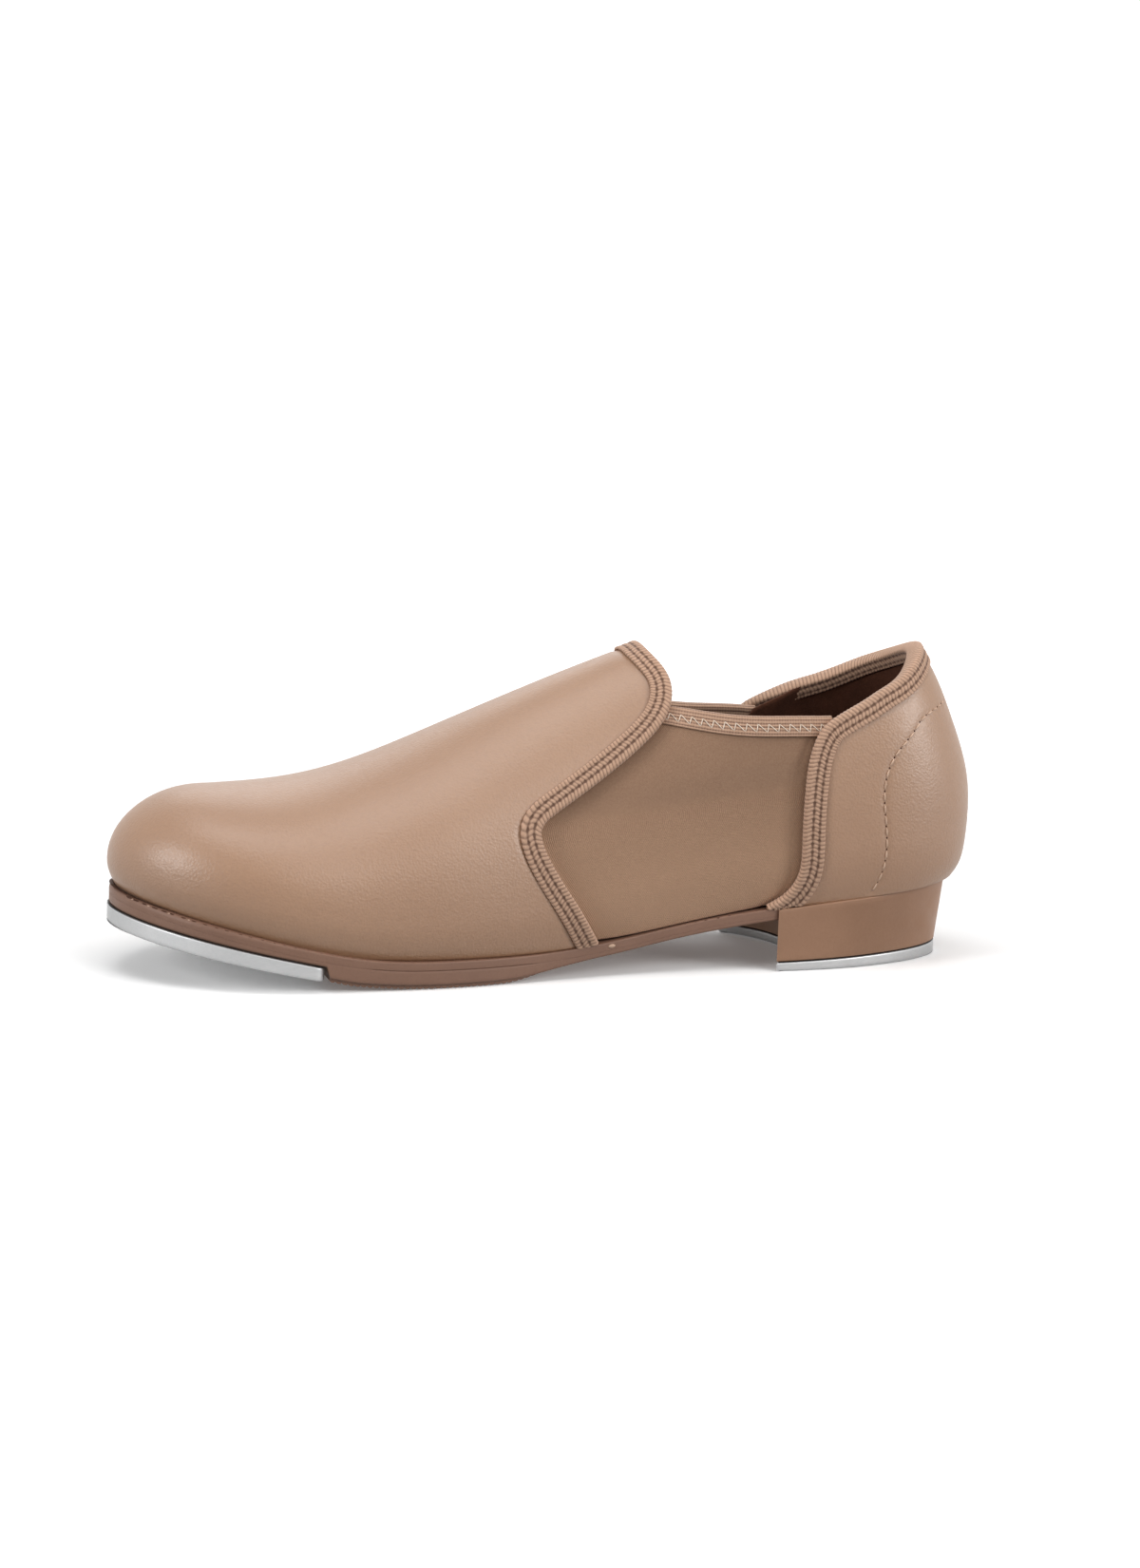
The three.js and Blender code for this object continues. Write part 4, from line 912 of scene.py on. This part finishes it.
# ---------------- bottom
sole_inset = Spline((-129, 0.2), (-60, 0.6), (-30, 0.9), (0, 2), (30, 2.5), (66, 2.6))
tread_line = Spline((-72, 4.2), (-66, 2.9), (-58, 2), (-48, 1.4), (-36, 1.2), (-24, 1.25), (-14, 1.9),
                    (-6, 3.3), (4, 5.1), (17, 7.2), (31, 9.9), (45, 12.3), (60, 14.6), (80, 17.4))
SOLE_TIP = -128.2
TAP_TIP = -128.7
MIDSOLE = 2.1
GASKET = 0.45  # room for a sound board
OUTSOLE = 1.1  # the outsole's least thickness
TOE_SPRING = 0.188  # slope of the toe tap
TAP_X, TAP_Z = -79, 4.2  # a point of its underside
TOE_TAP_REAR, TOE_TAP_FRONT = 3.9, 4.9  # thickness of the toe tap
STEP = TAP_REAR + 0.3  # where the sole comes down behind the toe tap
TREAD = 1.15
TREAD_PITCH = 1.8
TREAD_END = -6.0
SEAT_FRONT, SEAT_REAR = 17.9, 25.2  # heights of the heel seat
HEEL_TAP_FRONT, HEEL_TAP_REAR = 2.5, 3.9  # thickness of the heel tap


def tap_bottom(x):
    return TAP_Z - TOE_SPRING * (x - TAP_X)


def tap_top(x):
    share = np.clip((TAP_REAR - x) / (TAP_REAR - TAP_TIP), 0, 1)
    return tap_bottom(x) + lerp(TOE_TAP_REAR, TOE_TAP_FRONT, share)


def outsole_bottom(x):
    behind = smoothstep(x, STEP, STEP + 1.3)
    waist = np.minimum(tread_line(x), feather(x) - SEAM_GAP - MIDSOLE - OUTSOLE)
    return lerp(tap_top(x) + GASKET, waist, behind)


breast_radius = (BREAST_HALF**2 + BREAST_DEPTH**2) / (2 * BREAST_DEPTH)


def breast_x(y):
    y = np.minimum(np.abs(y), BREAST_HALF)
    return BREAST + BREAST_DEPTH - breast_radius + np.sqrt(breast_radius**2 - y**2)


def plan_rows(x_line, low, high, across, rear=None):
    """Plan grid: a row across the shoe at each x, the last rows bent to the shape rear(y)."""
    w = np.linspace(0, 1, across)
    x = x_line[:, None] + 0 * w
    y = lerp(low(x_line)[:, None], high(x_line)[:, None], w)
    if rear is not None:
        end = float(rear(0.0))
        x = x + (rear(y) - end) * smoothstep(x, end - 40, end)
    return stack(x, y)


def outline(inset, tip):
    """Low and high y of a plate under the upper, with a round front end at the tip."""

    def front(x):
        return cap(np.maximum(x - tip, 0), PLAN_CAP + tip - TIP, PLAN_POWER)

    return (lambda x: centre(x) - (medial_half(x) - inset(x)) * front(x),
            lambda x: centre(x) + (lateral_half(x) - inset(x)) * front(x))


def round_front(tip, end, count):
    """Places along X, packed at the round front end."""
    return tip + 0.02 + (end - tip - 0.02) * (1 - np.cos(np.linspace(0, math.pi / 2, count)))


def border_of(grid_shape, pointed):
    """Numbers of the grid points round the border; a pointed grid has one point for its first row."""
    count, across = grid_shape
    index = np.arange(count * across).reshape(count, across)
    first = index[0, :1] if pointed else index[0]
    return np.concatenate([first, index[1:, -1], index[-1, -2::-1], index[-2:0:-1, 0]])


def loop_normals(loop):
    """Outward plan normals of a closed loop, eased over its corners."""
    way = np.roll(loop, -1, axis=0) - np.roll(loop, 1, axis=0)
    normal = unit(stack(way[:, 1], -way[:, 0]))
    if np.sum(normal * (loop - loop.mean(axis=0))) < 0:
        normal = -normal
    steps = np.linalg.norm(np.roll(loop, -1, axis=0) - loop, axis=1)
    place = np.concatenate([[0], np.cumsum(steps)[:-1]])
    apart = np.abs(place[:, None] - place[None])
    apart = np.minimum(apart, steps.sum() - apart)
    return unit(np.exp(-((apart / 1.2) ** 2)) @ normal)


def plate(lower, upper, top, bottom, top_round, bottom_round, walls=4, pointed=True):
    """A plate between two plan grids, its edges rounded by top_round(x) and bottom_round(x)."""
    border = border_of(upper.shape[:2], pointed)
    loops = [lower.reshape(-1, 2)[border], upper.reshape(-1, 2)[border]]
    normals = [loop_normals(loop) for loop in loops]
    arc = np.linspace(0, math.pi / 2, 5)
    rows = [(1.0, "top", -1)] + [(1.0, "top", a) for a in arc]
    rows += [(k, "wall", 0) for k in np.linspace(1, 0, walls + 2)[1:-1]]
    rows += [(0.0, "bottom", a) for a in arc[::-1]] + [(0.0, "bottom", -1)]
    points, index, total = [], [], 0
    for k, zone, a in rows:
        loop = lerp(loops[0], loops[1], k)
        normal = unit(lerp(normals[0], normals[1], k))
        radius = (bottom_round if zone == "bottom" else top_round)(loop[:, 0])
        inset = 0 * radius if zone == "wall" else radius * (1 - math.sin(max(a, 0)))
        drop = 0 * radius if zone == "wall" or a < 0 else radius * (1 - math.cos(a))
        inset = inset + (0.4 if a < 0 else 0)
        flat = loop - normal * inset[:, None]
        x = flat[:, 0]
        low, high = bottom(x) + bottom_round(x), top(x) - top_round(x)
        z = {"top": top(x) - drop, "bottom": bottom(x) + drop, "wall": lerp(low, high, k)}[zone]
        points.append(stack(x, flat[:, 1], z))
        index.append(np.arange(len(loop)) + total)
        total += len(loop)
    faces = [quads(np.concatenate([np.array(index), np.array(index)[:, :1]], axis=1))]
    for grid, ring, height, flip in ((upper, index[0], top, True), (lower, index[-1], bottom, False)):
        number = np.full(grid.shape[:2], -1)
        cells = number.reshape(-1)
        cells[border] = ring
        if pointed:
            cells[: grid.shape[1]] = ring[0]
        free = np.nonzero(cells < 0)[0]
        cells[free] = np.arange(len(free)) + total
        total += len(free)
        xy = grid.reshape(-1, 2)[free]
        points.append(stack(xy[:, 0], xy[:, 1], height(xy[:, 0])))
        faces.append(quads(number)[:, ::-1] if flip else quads(number))
    return np.concatenate(points), np.concatenate(faces)


def plate_piece(name, solid, material, slot, replaces, sharp=50):
    """Makes a plate's object; faces at a pointed end that have a doubled corner become triangles."""
    points, faces = solid
    whole = np.array([len(set(face)) == 4 for face in faces.tolist()])
    thin = [list(dict.fromkeys(face)) for face in faces[~whole].tolist()]
    thin = [face for face in thin if len(face) == 3]
    return piece(name, points, faces[whole], material, slot, replaces, sharp=sharp, extra=thin)


def constant(value):
    return lambda x: np.full(np.shape(x), float(value))


def at_toe(x):
    return 1 - smoothstep(x, -115, -60)


def sole_top(x):
    return feather(x) + 0.05 + 0.3 * at_toe(x)


def sole_round(x):
    """Radius of the sole's upper edge, a full bead round the toe."""
    return 0.35 + 1.25 * at_toe(x)


def build_sole():
    low, high = outline(sole_inset, SOLE_TIP)
    to_breast = lambda y: breast_x(y) - 0.1
    grid = plan_rows(round_front(SOLE_TIP, float(to_breast(0.0)), 200), low, high, 36, to_breast)
    seam = lambda x: 0.04 + 0.26 * smoothstep(x, -64, -56) * (1 - smoothstep(x, -16, -8))
    joint = lambda x: feather(x) - SEAM_GAP - MIDSOLE
    midsole = plate(grid, grid, sole_top, joint, sole_round, seam)
    plate_piece("midsole_edge", midsole, sole, "sole_composite", ["midsole"])
    fine = np.concatenate([round_front(SOLE_TIP, STEP - 1, 90), np.arange(STEP - 0.8, STEP + 4, 0.2),
                           np.linspace(STEP + 4.5, float(to_breast(0.0)), 120)])
    grid = plan_rows(fine, low, high, 36, to_breast)
    outsole = plate(grid, grid, lambda x: joint(x) - 0.02, outsole_bottom, seam, constant(0.6))
    plate_piece("outsole_body", outsole, sole, "sole_composite", ["outsole"])


def build_tread():
    low, high = outline(lambda x: sole_inset(x) + 1.1, SOLE_TIP)
    grid = plan_rows(np.arange(STEP + 1.2, TREAD_END, 0.3), low, high, 30)

    def bottom(x):
        depth = TREAD - 0.5 * (1 - np.abs(np.sin(math.pi * x / TREAD_PITCH)) ** 0.5)
        return outsole_bottom(x) - depth * (1 - smoothstep(x, TREAD_END - 15, TREAD_END))

    pad = plate(grid, grid, lambda x: outsole_bottom(x) + 0.2, bottom, constant(0.05), constant(0.12),
                pointed=False)
    plate_piece("tread_pad_ribbed", pad, tread, "tread_rubber", ["tread_pad"], 35)


# ---------------- taps and heel
TOE_SCREWS = ((-114, -4), (-86, -26), (-86, 24))
HEEL_SCREWS = ((84, -14), (84, 14), (108, 0))
HEAD = 2.5  # radius of the face of a screw's head


def square_to(axis):
    """The axis as a unit vector, and two more square to it."""
    axis = unit(np.array(axis, float))
    side = unit(np.cross(axis, [0.0, 1.0, 0.0]))
    return axis, side, np.cross(axis, side)


def turned(profile, point, axis):
    """Points and faces of a turned piece; the profile is (radius, height) pairs from end to end."""
    around = 48
    profile = np.array(profile)
    turn = circle(around)
    axis, side, other = square_to(axis)
    spoke = np.cos(turn)[:, None] * side + np.sin(turn)[:, None] * other
    points = point + profile[:, None, :1] * spoke + profile[:, None, 1:] * axis
    faces, first, last = tube_faces(len(profile), around)
    return points.reshape(-1, 3), faces, [first, last]


def drill(plate_object, places, axis):
    """Cuts countersunk holes for the screws through a plate."""
    profile = ((3.4, -3), (2.95, 0), (2.85, 0.35), (1.5, 1.75), (1.5, 9), (0.4, 9.2))
    points, faces, ends, total = [], [], [], 0
    for place in places:
        cone, walls, caps = turned(profile, place, axis)
        points.append(cone)
        faces.append(walls + total)
        ends += [[corner + total for corner in cap_face] for cap_face in caps]
        total += len(cone)
    cutter = piece("cutter", np.concatenate(points), np.concatenate(faces), steel, "fixing_steel",
                   extra=ends)
    cut = plate_object.modifiers.new("countersinks", "BOOLEAN")
    cut.operation = "DIFFERENCE"
    cut.solver = "EXACT"
    cut.object = cutter
    bpy.context.view_layer.update()
    with bpy.context.temp_override(object=plate_object, active_object=plate_object):
        bpy.ops.object.modifier_apply(modifier=cut.name)
    bpy.data.objects.remove(cutter)
    plate_object.data.set_sharp_from_angle(angle=math.radians(28))


def build_screw(name, place, axis, replaces):
    """A countersunk screw; its head has a cross recess."""
    around, rings = 72, 26
    axis, side, other = square_to(axis)
    twist = rng.uniform(0, math.pi)
    turn = circle(around)
    radius = np.linspace(0.05, HEAD, rings)[:, None]
    a, b = radius * np.cos(turn), radius * np.sin(turn)
    arms = np.minimum(np.abs(a), np.abs(b))
    reach = np.maximum(np.abs(a), np.abs(b))
    recess = (1 - smoothstep(arms, 0.25, 0.42)) * (1 - smoothstep(reach, 1.35, 1.6))
    height = 0.22 * (radius / HEAD) ** 2 + 0.9 * recess * (1 - 0.35 * reach)
    head = [(radius, height)]
    rest = ((2.6, 0.32), (2.6, 0.5), (1.3, 1.8), (1.3, 6.4), (0.5, 7.2))
    head += [(np.array([[r]]), np.full((1, around), h)) for r, h in rest]
    rows = []
    for r, h in head:
        spoke = r[..., None] * (np.cos(turn + twist)[None, :, None] * side
                                + np.sin(turn + twist)[None, :, None] * other)
        rows.append(spoke + h[..., None] * axis)
    points = np.concatenate(rows) + place
    faces, first, last = tube_faces(len(points), around)
    piece(name, points.reshape(-1, 3), faces, steel, "fixing_steel", replaces, sharp=40,
          extra=[first, last])


def fit_screws(name, tap, places, axis, sunk):
    """Drills a tap and sets a screw into each hole."""
    drill(tap, places, axis)
    for number, place in enumerate(places, 1):
        build_screw(f"{name}_screw_{number}", place + sunk, axis, [f"{name}_tap_screw_{number}"])


def build_sound_board(name, grid, top_of_tap, thickness, replaces):
    """A thin board on a tap, sunk a little into it."""
    solid = plate(grid, grid, lambda x: top_of_tap(x) + thickness, lambda x: top_of_tap(x) - 0.03,
                  constant(0.1), constant(0.1), 1)
    plate_piece(name, solid, gasket, "sound_board", replaces)


def build_toe_tap():
    def corner(x):
        return 3 * (1 - cap(np.maximum(TAP_REAR - x, 0), 3, 2))

    def grid_of(inset):
        x = np.concatenate([round_front(TAP_TIP + inset, TAP_REAR - 3.4 - inset, 110),
                            TAP_REAR - inset - 3.2 * (1 - np.sin(np.linspace(0, math.pi / 2, 12)))])
        front = cap(np.maximum(x - TAP_TIP - inset, 0), PLAN_CAP, PLAN_POWER)
        half_low = (medial_half(x) - inset) * front - corner(x + inset)
        half_high = (lateral_half(x) - inset) * front - corner(x + inset)
        return plan_rows(x, lambda x: centre(x) - half_low, lambda x: centre(x) + half_high, 30)

    grid = grid_of(0.0)
    solid = plate(grid, grid, tap_top, tap_bottom, constant(0.35), constant(0.85), 5)
    places = [np.array([x, y, tap_bottom(x)]) for x, y in TOE_SCREWS]
    tap = plate_piece("toe_tap_plate", solid, aluminium, "tap_aluminium", ["toe_tap"])
    fit_screws("toe", tap, places, (TOE_SPRING, 0, 1), [0.05, 0, 0.3])
    build_sound_board("toe_sound_board", grid_of(0.9), tap_top, GASKET + 0.1, ["toe_tap_sound_board"])


def seat_height(x):
    return lerp(SEAT_FRONT, SEAT_REAR, (x - BREAST) / (BLOCK_END - BREAST))


def heel_tap_top(x):
    return lerp(HEEL_TAP_FRONT, HEEL_TAP_REAR, (x - BREAST) / (BLOCK_FOOT_END - BREAST))


ROUND_START = 87  # where the block's seat starts to round off


def heel_grid(k, inset=0.0):
    """Plan of the heel from its rear end to the breast arc, at a height share."""
    share = np.sin(np.linspace(0, math.pi / 2, 90))[::-1]
    end = lerp(BLOCK_FOOT_END, BLOCK_END, k)
    x = BREAST + (end - BREAST) * share
    foot = np.sqrt(1 - share**1.8)
    seat_x = BREAST + share * (BLOCK_END - BREAST)
    seat = np.sqrt(1 - np.clip((seat_x - ROUND_START) / (BLOCK_END - ROUND_START), 0, 1) ** 2)
    half = BREAST_HALF * lerp(foot, seat, k)
    w = np.linspace(-1, 1, 34)
    y = half[:, None] * w
    pull = 1 - smoothstep(x, BREAST, BREAST + 34)[:, None]
    grid = stack(x[:, None] + (breast_x(y) - BREAST) * pull, y)
    middle = np.array([HEEL_CENTRE, 0.0])
    return grid - (grid - middle) * inset / 30


def build_heel():
    over_tap = lambda x: heel_tap_top(x) + GASKET
    top = lambda x: seat_height(x) + 0.35
    solid = plate(heel_grid(0.0), heel_grid(1.0), top, over_tap, constant(0.45), constant(0.35), 10)
    plate_piece("heel_block_turned", solid, stacked, "sole_composite", ["heel_block"])
    grid = heel_grid(0.0)
    solid = plate(grid, grid, heel_tap_top, constant(0), constant(0.35), constant(0.8), 4)
    tap = plate_piece("heel_tap_plate", solid, aluminium, "tap_aluminium", ["heel_tap"])
    fit_screws("heel", tap, [np.array([x, y, 0.0]) for x, y in HEEL_SCREWS], (0, 0, 1), [0, 0, 0.3])
    build_sound_board("heel_sound_board", heel_grid(0.0, 0.8), heel_tap_top, 0.7,
                      ["heel_tap_sound_board"])


# ---------------- inside and seams
SOCK_HEIGHT = 4.9  # underside of the sock above the feather line


def build_sock():
    """The cushioned sock, meeting the lining all round and turned up a little at its rim."""
    inset, rear_end = 5.2, 122.0
    tip = TIP + TOE_TUCK + inset
    share = (1 - np.cos(np.linspace(0, math.pi, 170))) / 2
    x = tip + 0.02 + (rear_end - tip - 0.04) * share
    ends = cap(x - tip, PLAN_CAP, PLAN_POWER) * cap(rear_end - x, 30, 2.15)
    w = np.sin(np.linspace(-math.pi / 2, math.pi / 2, 50))
    low = centre(x) - (medial_half(x) - inset) * ends
    high = centre(x) + (lateral_half(x) - inset) * ends
    y = lerp(low[:, None], high[:, None], (w + 1) / 2)
    grid_x = x[:, None] + 0 * y
    rim = np.maximum(np.abs(w)[None] + 0 * y, np.abs(2 * share - 1)[:, None] ** 6)
    base = feather(grid_x) + SOCK_HEIGHT
    cushion = 0.5 * np.exp(-(((grid_x - HEEL_CENTRE) / 24) ** 2) - (y / 15) ** 2)
    rise_up = 1.9 + 1.3 * rim**8 - cushion + undulation(stack(grid_x, y, 0 * y), 45, 0.3)
    solid = shell(stack(grid_x, y, base + rise_up), stack(grid_x, y, base + rim**8))
    sock = piece("sock_liner_cushion", *solid, lining, "lining_suede", ["sock_liner"])


def sole_edge_path(side, x):
    """The line on the rounded sole edge just under the upper."""
    low, high = outline(sole_inset, SOLE_TIP)
    drop = 0.3 * sole_round(x)
    y = low(x) + drop if side == MEDIAL else high(x) - drop
    return stack(x, y, sole_top(x) - drop - 0.15)


def build_seam_stitches():
    """Short dark stitches in the seam round the sole, in the painted shade colour, so that they stand for
    both the stitches and the shade where they sink in, and a few light thread ends at the toe.
    """
    for name, side in SIDES:
        x = SOLE_TIP + 3 + (56 - SOLE_TIP - 3) * (1 - np.cos(np.linspace(0, math.pi / 2, 900)))
        strip = PathStrip(sole_edge_path(side, x))
        starts = [(k + 0.5 + 0.15 * rng.uniform(-1, 1)) * SEAM_PITCH
                  for k in range(int(strip.length / SEAM_PITCH))]
        lengths = [0.9 + 0.5 * rng.uniform() for _ in starts]
        places = [((s - h, 0.0), (s + h, 0.0)) for s, h in zip(starts, lengths)]
        build_threads(f"seam_stitches_{name}", strip, places, 0.26, 0.2, shadow_hole, 0.05,
                      "sole_composite")
        light = [((s + 1.3, 0.05), (s + 2.1, -0.05)) for s in starts[:7:2]]
        build_threads(f"seam_thread_ends_{name}", strip, light, 0.2, 0.12, thread_tan, 0.1,
                      "sole_composite")
    knot_x = np.linspace(11.0, 13.6, 12)
    strip = PathStrip(sole_edge_path(MEDIAL, knot_x) - [0, 0, 1.0])
    build_threads("seam_thread_knot", strip, [((0.2, 0), (2.4, 0))], 0.62, 0.1, thread_tan, 0.2,
                  "sole_composite")


# ---------------- everything carried over, and the stage
def dress_hidden_nodes():
    """Gives the CAD pieces that stay inside the shoe their procedural materials."""
    looks = {
        "toe_puff": board, "heel_counter": board, "insole_board": board, "bottom_filler": foam,
        "steel_shank": steel, "shank_rivet_1": steel, "shank_rivet_2": steel,
        **{f"heel_nail_{n}": steel for n in range(1, 6)},
    }
    for node, material in looks.items():
        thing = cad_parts[node]
        thing.data.materials.clear()
        thing.data.materials.append(material)


AZIMUTH, ELEVATION, ROLL = -14.5, 9.4, 2.0
DISTANCE = 950
AIM = (-2.6, -1.2, 45)
LENS = 74.7
AIM_ASIDE, AIM_UP = 0.00906, 0.00657  # tangents from the aim point to the middle of the picture


def build_camera():
    a, e, roll = (math.radians(v) for v in (AZIMUTH, ELEVATION, ROLL))
    backwards = Vector((math.sin(a) * math.cos(e), -math.cos(a) * math.cos(e), math.sin(e)))
    right = Vector((math.cos(a), math.sin(a), 0))
    up = backwards.cross(right)
    right, up = right * math.cos(roll) + up * math.sin(roll), up * math.cos(roll) - right * math.sin(roll)
    place = Vector(to_cad(AIM)) + backwards * DISTANCE / 1000
    backwards = (backwards - right * AIM_ASIDE - up * AIM_UP).normalized()
    up = (up - backwards * up.dot(backwards)).normalized()
    right = up.cross(backwards)
    data = bpy.data.cameras.new("camera")
    data.sensor_fit = "VERTICAL"
    data.sensor_height = 36
    data.lens = LENS
    camera = add_object("camera", data)
    camera.matrix_world = Matrix((right, up, backwards)).transposed().to_4x4()
    camera.location = place
    bpy.context.scene.camera = camera


def area_light(name, place, aim, size, power):
    data = bpy.data.lights.new(name, "AREA")
    data.shape = "RECTANGLE"
    data.size, data.size_y = size
    data.energy = power
    light = add_object(name, data)
    light.location = place
    light.rotation_euler = (Vector(aim) - Vector(place)).to_track_quat("-Z", "Y").to_euler()


def build_paper():
    """White paper: flat under the shoe, and curving up all round it a long way off."""
    paper = Surface("paper", (0.93, 0.93, 0.93), 0.95, Specular_IOR_Level=0.0, Emission_Color=(1, 1, 1, 1))
    away = paper.node("ShaderNodeVectorMath", {"operation": "LENGTH"}, Vector=paper.place).outputs["Value"]
    paper.feed(paper.shader.inputs["Emission Strength"], paper.spread(away, 0.3, 1.1, 0.1, 0.75))
    paper.mottle((3, 2), 0.4, 0.6, 0.2, (0.91, 0.91, 0.91))
    turn = np.linspace(0, math.pi / 2, 24)
    radius = np.concatenate([[0.0], 2.5 + 1.5 * np.sin(turn), [4.0]])
    z = np.concatenate([[0.0], 1.5 - 1.5 * np.cos(turn), [6.0]])
    around = np.linspace(0, 2 * math.pi, 97)[:, None]
    points = stack(radius * np.cos(around), radius * np.sin(around), z)
    mesh = bpy.data.meshes.new("floor")
    index = np.arange(len(around) * len(z)).reshape(len(around), len(z))
    mesh.from_pydata(points.reshape(-1, 3).tolist(), [], quads(index).tolist())
    mesh.shade_smooth()
    mesh.materials.append(paper.material)
    floor = add_object("floor", mesh)
    floor.visible_diffuse = False
    floor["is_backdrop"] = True


def build_lights():
    """Soft white light from all round, and five panels that give the leather its shine."""
    scene = bpy.context.scene
    scene.view_settings.view_transform = "Standard"
    scene.view_settings.look = "None"
    world = bpy.data.worlds.new("studio")
    world.use_nodes = True
    world.node_tree.nodes["Background"].inputs["Color"].default_value = (1, 1, 1, 1)
    world.node_tree.nodes["Background"].inputs["Strength"].default_value = 0.28
    scene.world = world
    area_light("overhead", (-0.1, -0.15, 1.5), (0, 0, 0.04), (1.4, 0.9), 12.8)
    area_light("left", (-1.7, -0.6, 0.75), (-0.05, 0, 0.04), (0.6, 0.8), 17)
    area_light("front", (0.75, -1.45, 1.25), (0.02, 0, 0.05), (1.0, 0.6), 7)
    area_light("right", (1.5, -1.0, 0.65), (0.08, 0, 0.05), (0.8, 0.7), 16)
    area_light("behind", (0.3, 1.6, 1.1), (0, 0, 0.05), (1.2, 0.8), 5)


build_vamp()
build_quarter()
for side_name, shoe_side in SIDES:
    build_gore(shoe_side, side_name)
build_bindings()
build_counter_stitches()
build_sole()
build_tread()
build_toe_tap()
build_heel()
build_sock()
build_seam_stitches()
dress_hidden_nodes()
build_paper()
build_lights()
build_camera()

shown_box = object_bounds()
sizes = {"cad": cad_box, "visual": shown_box}
{key: [list(corner) for corner in value] for key, value in sizes.items()}
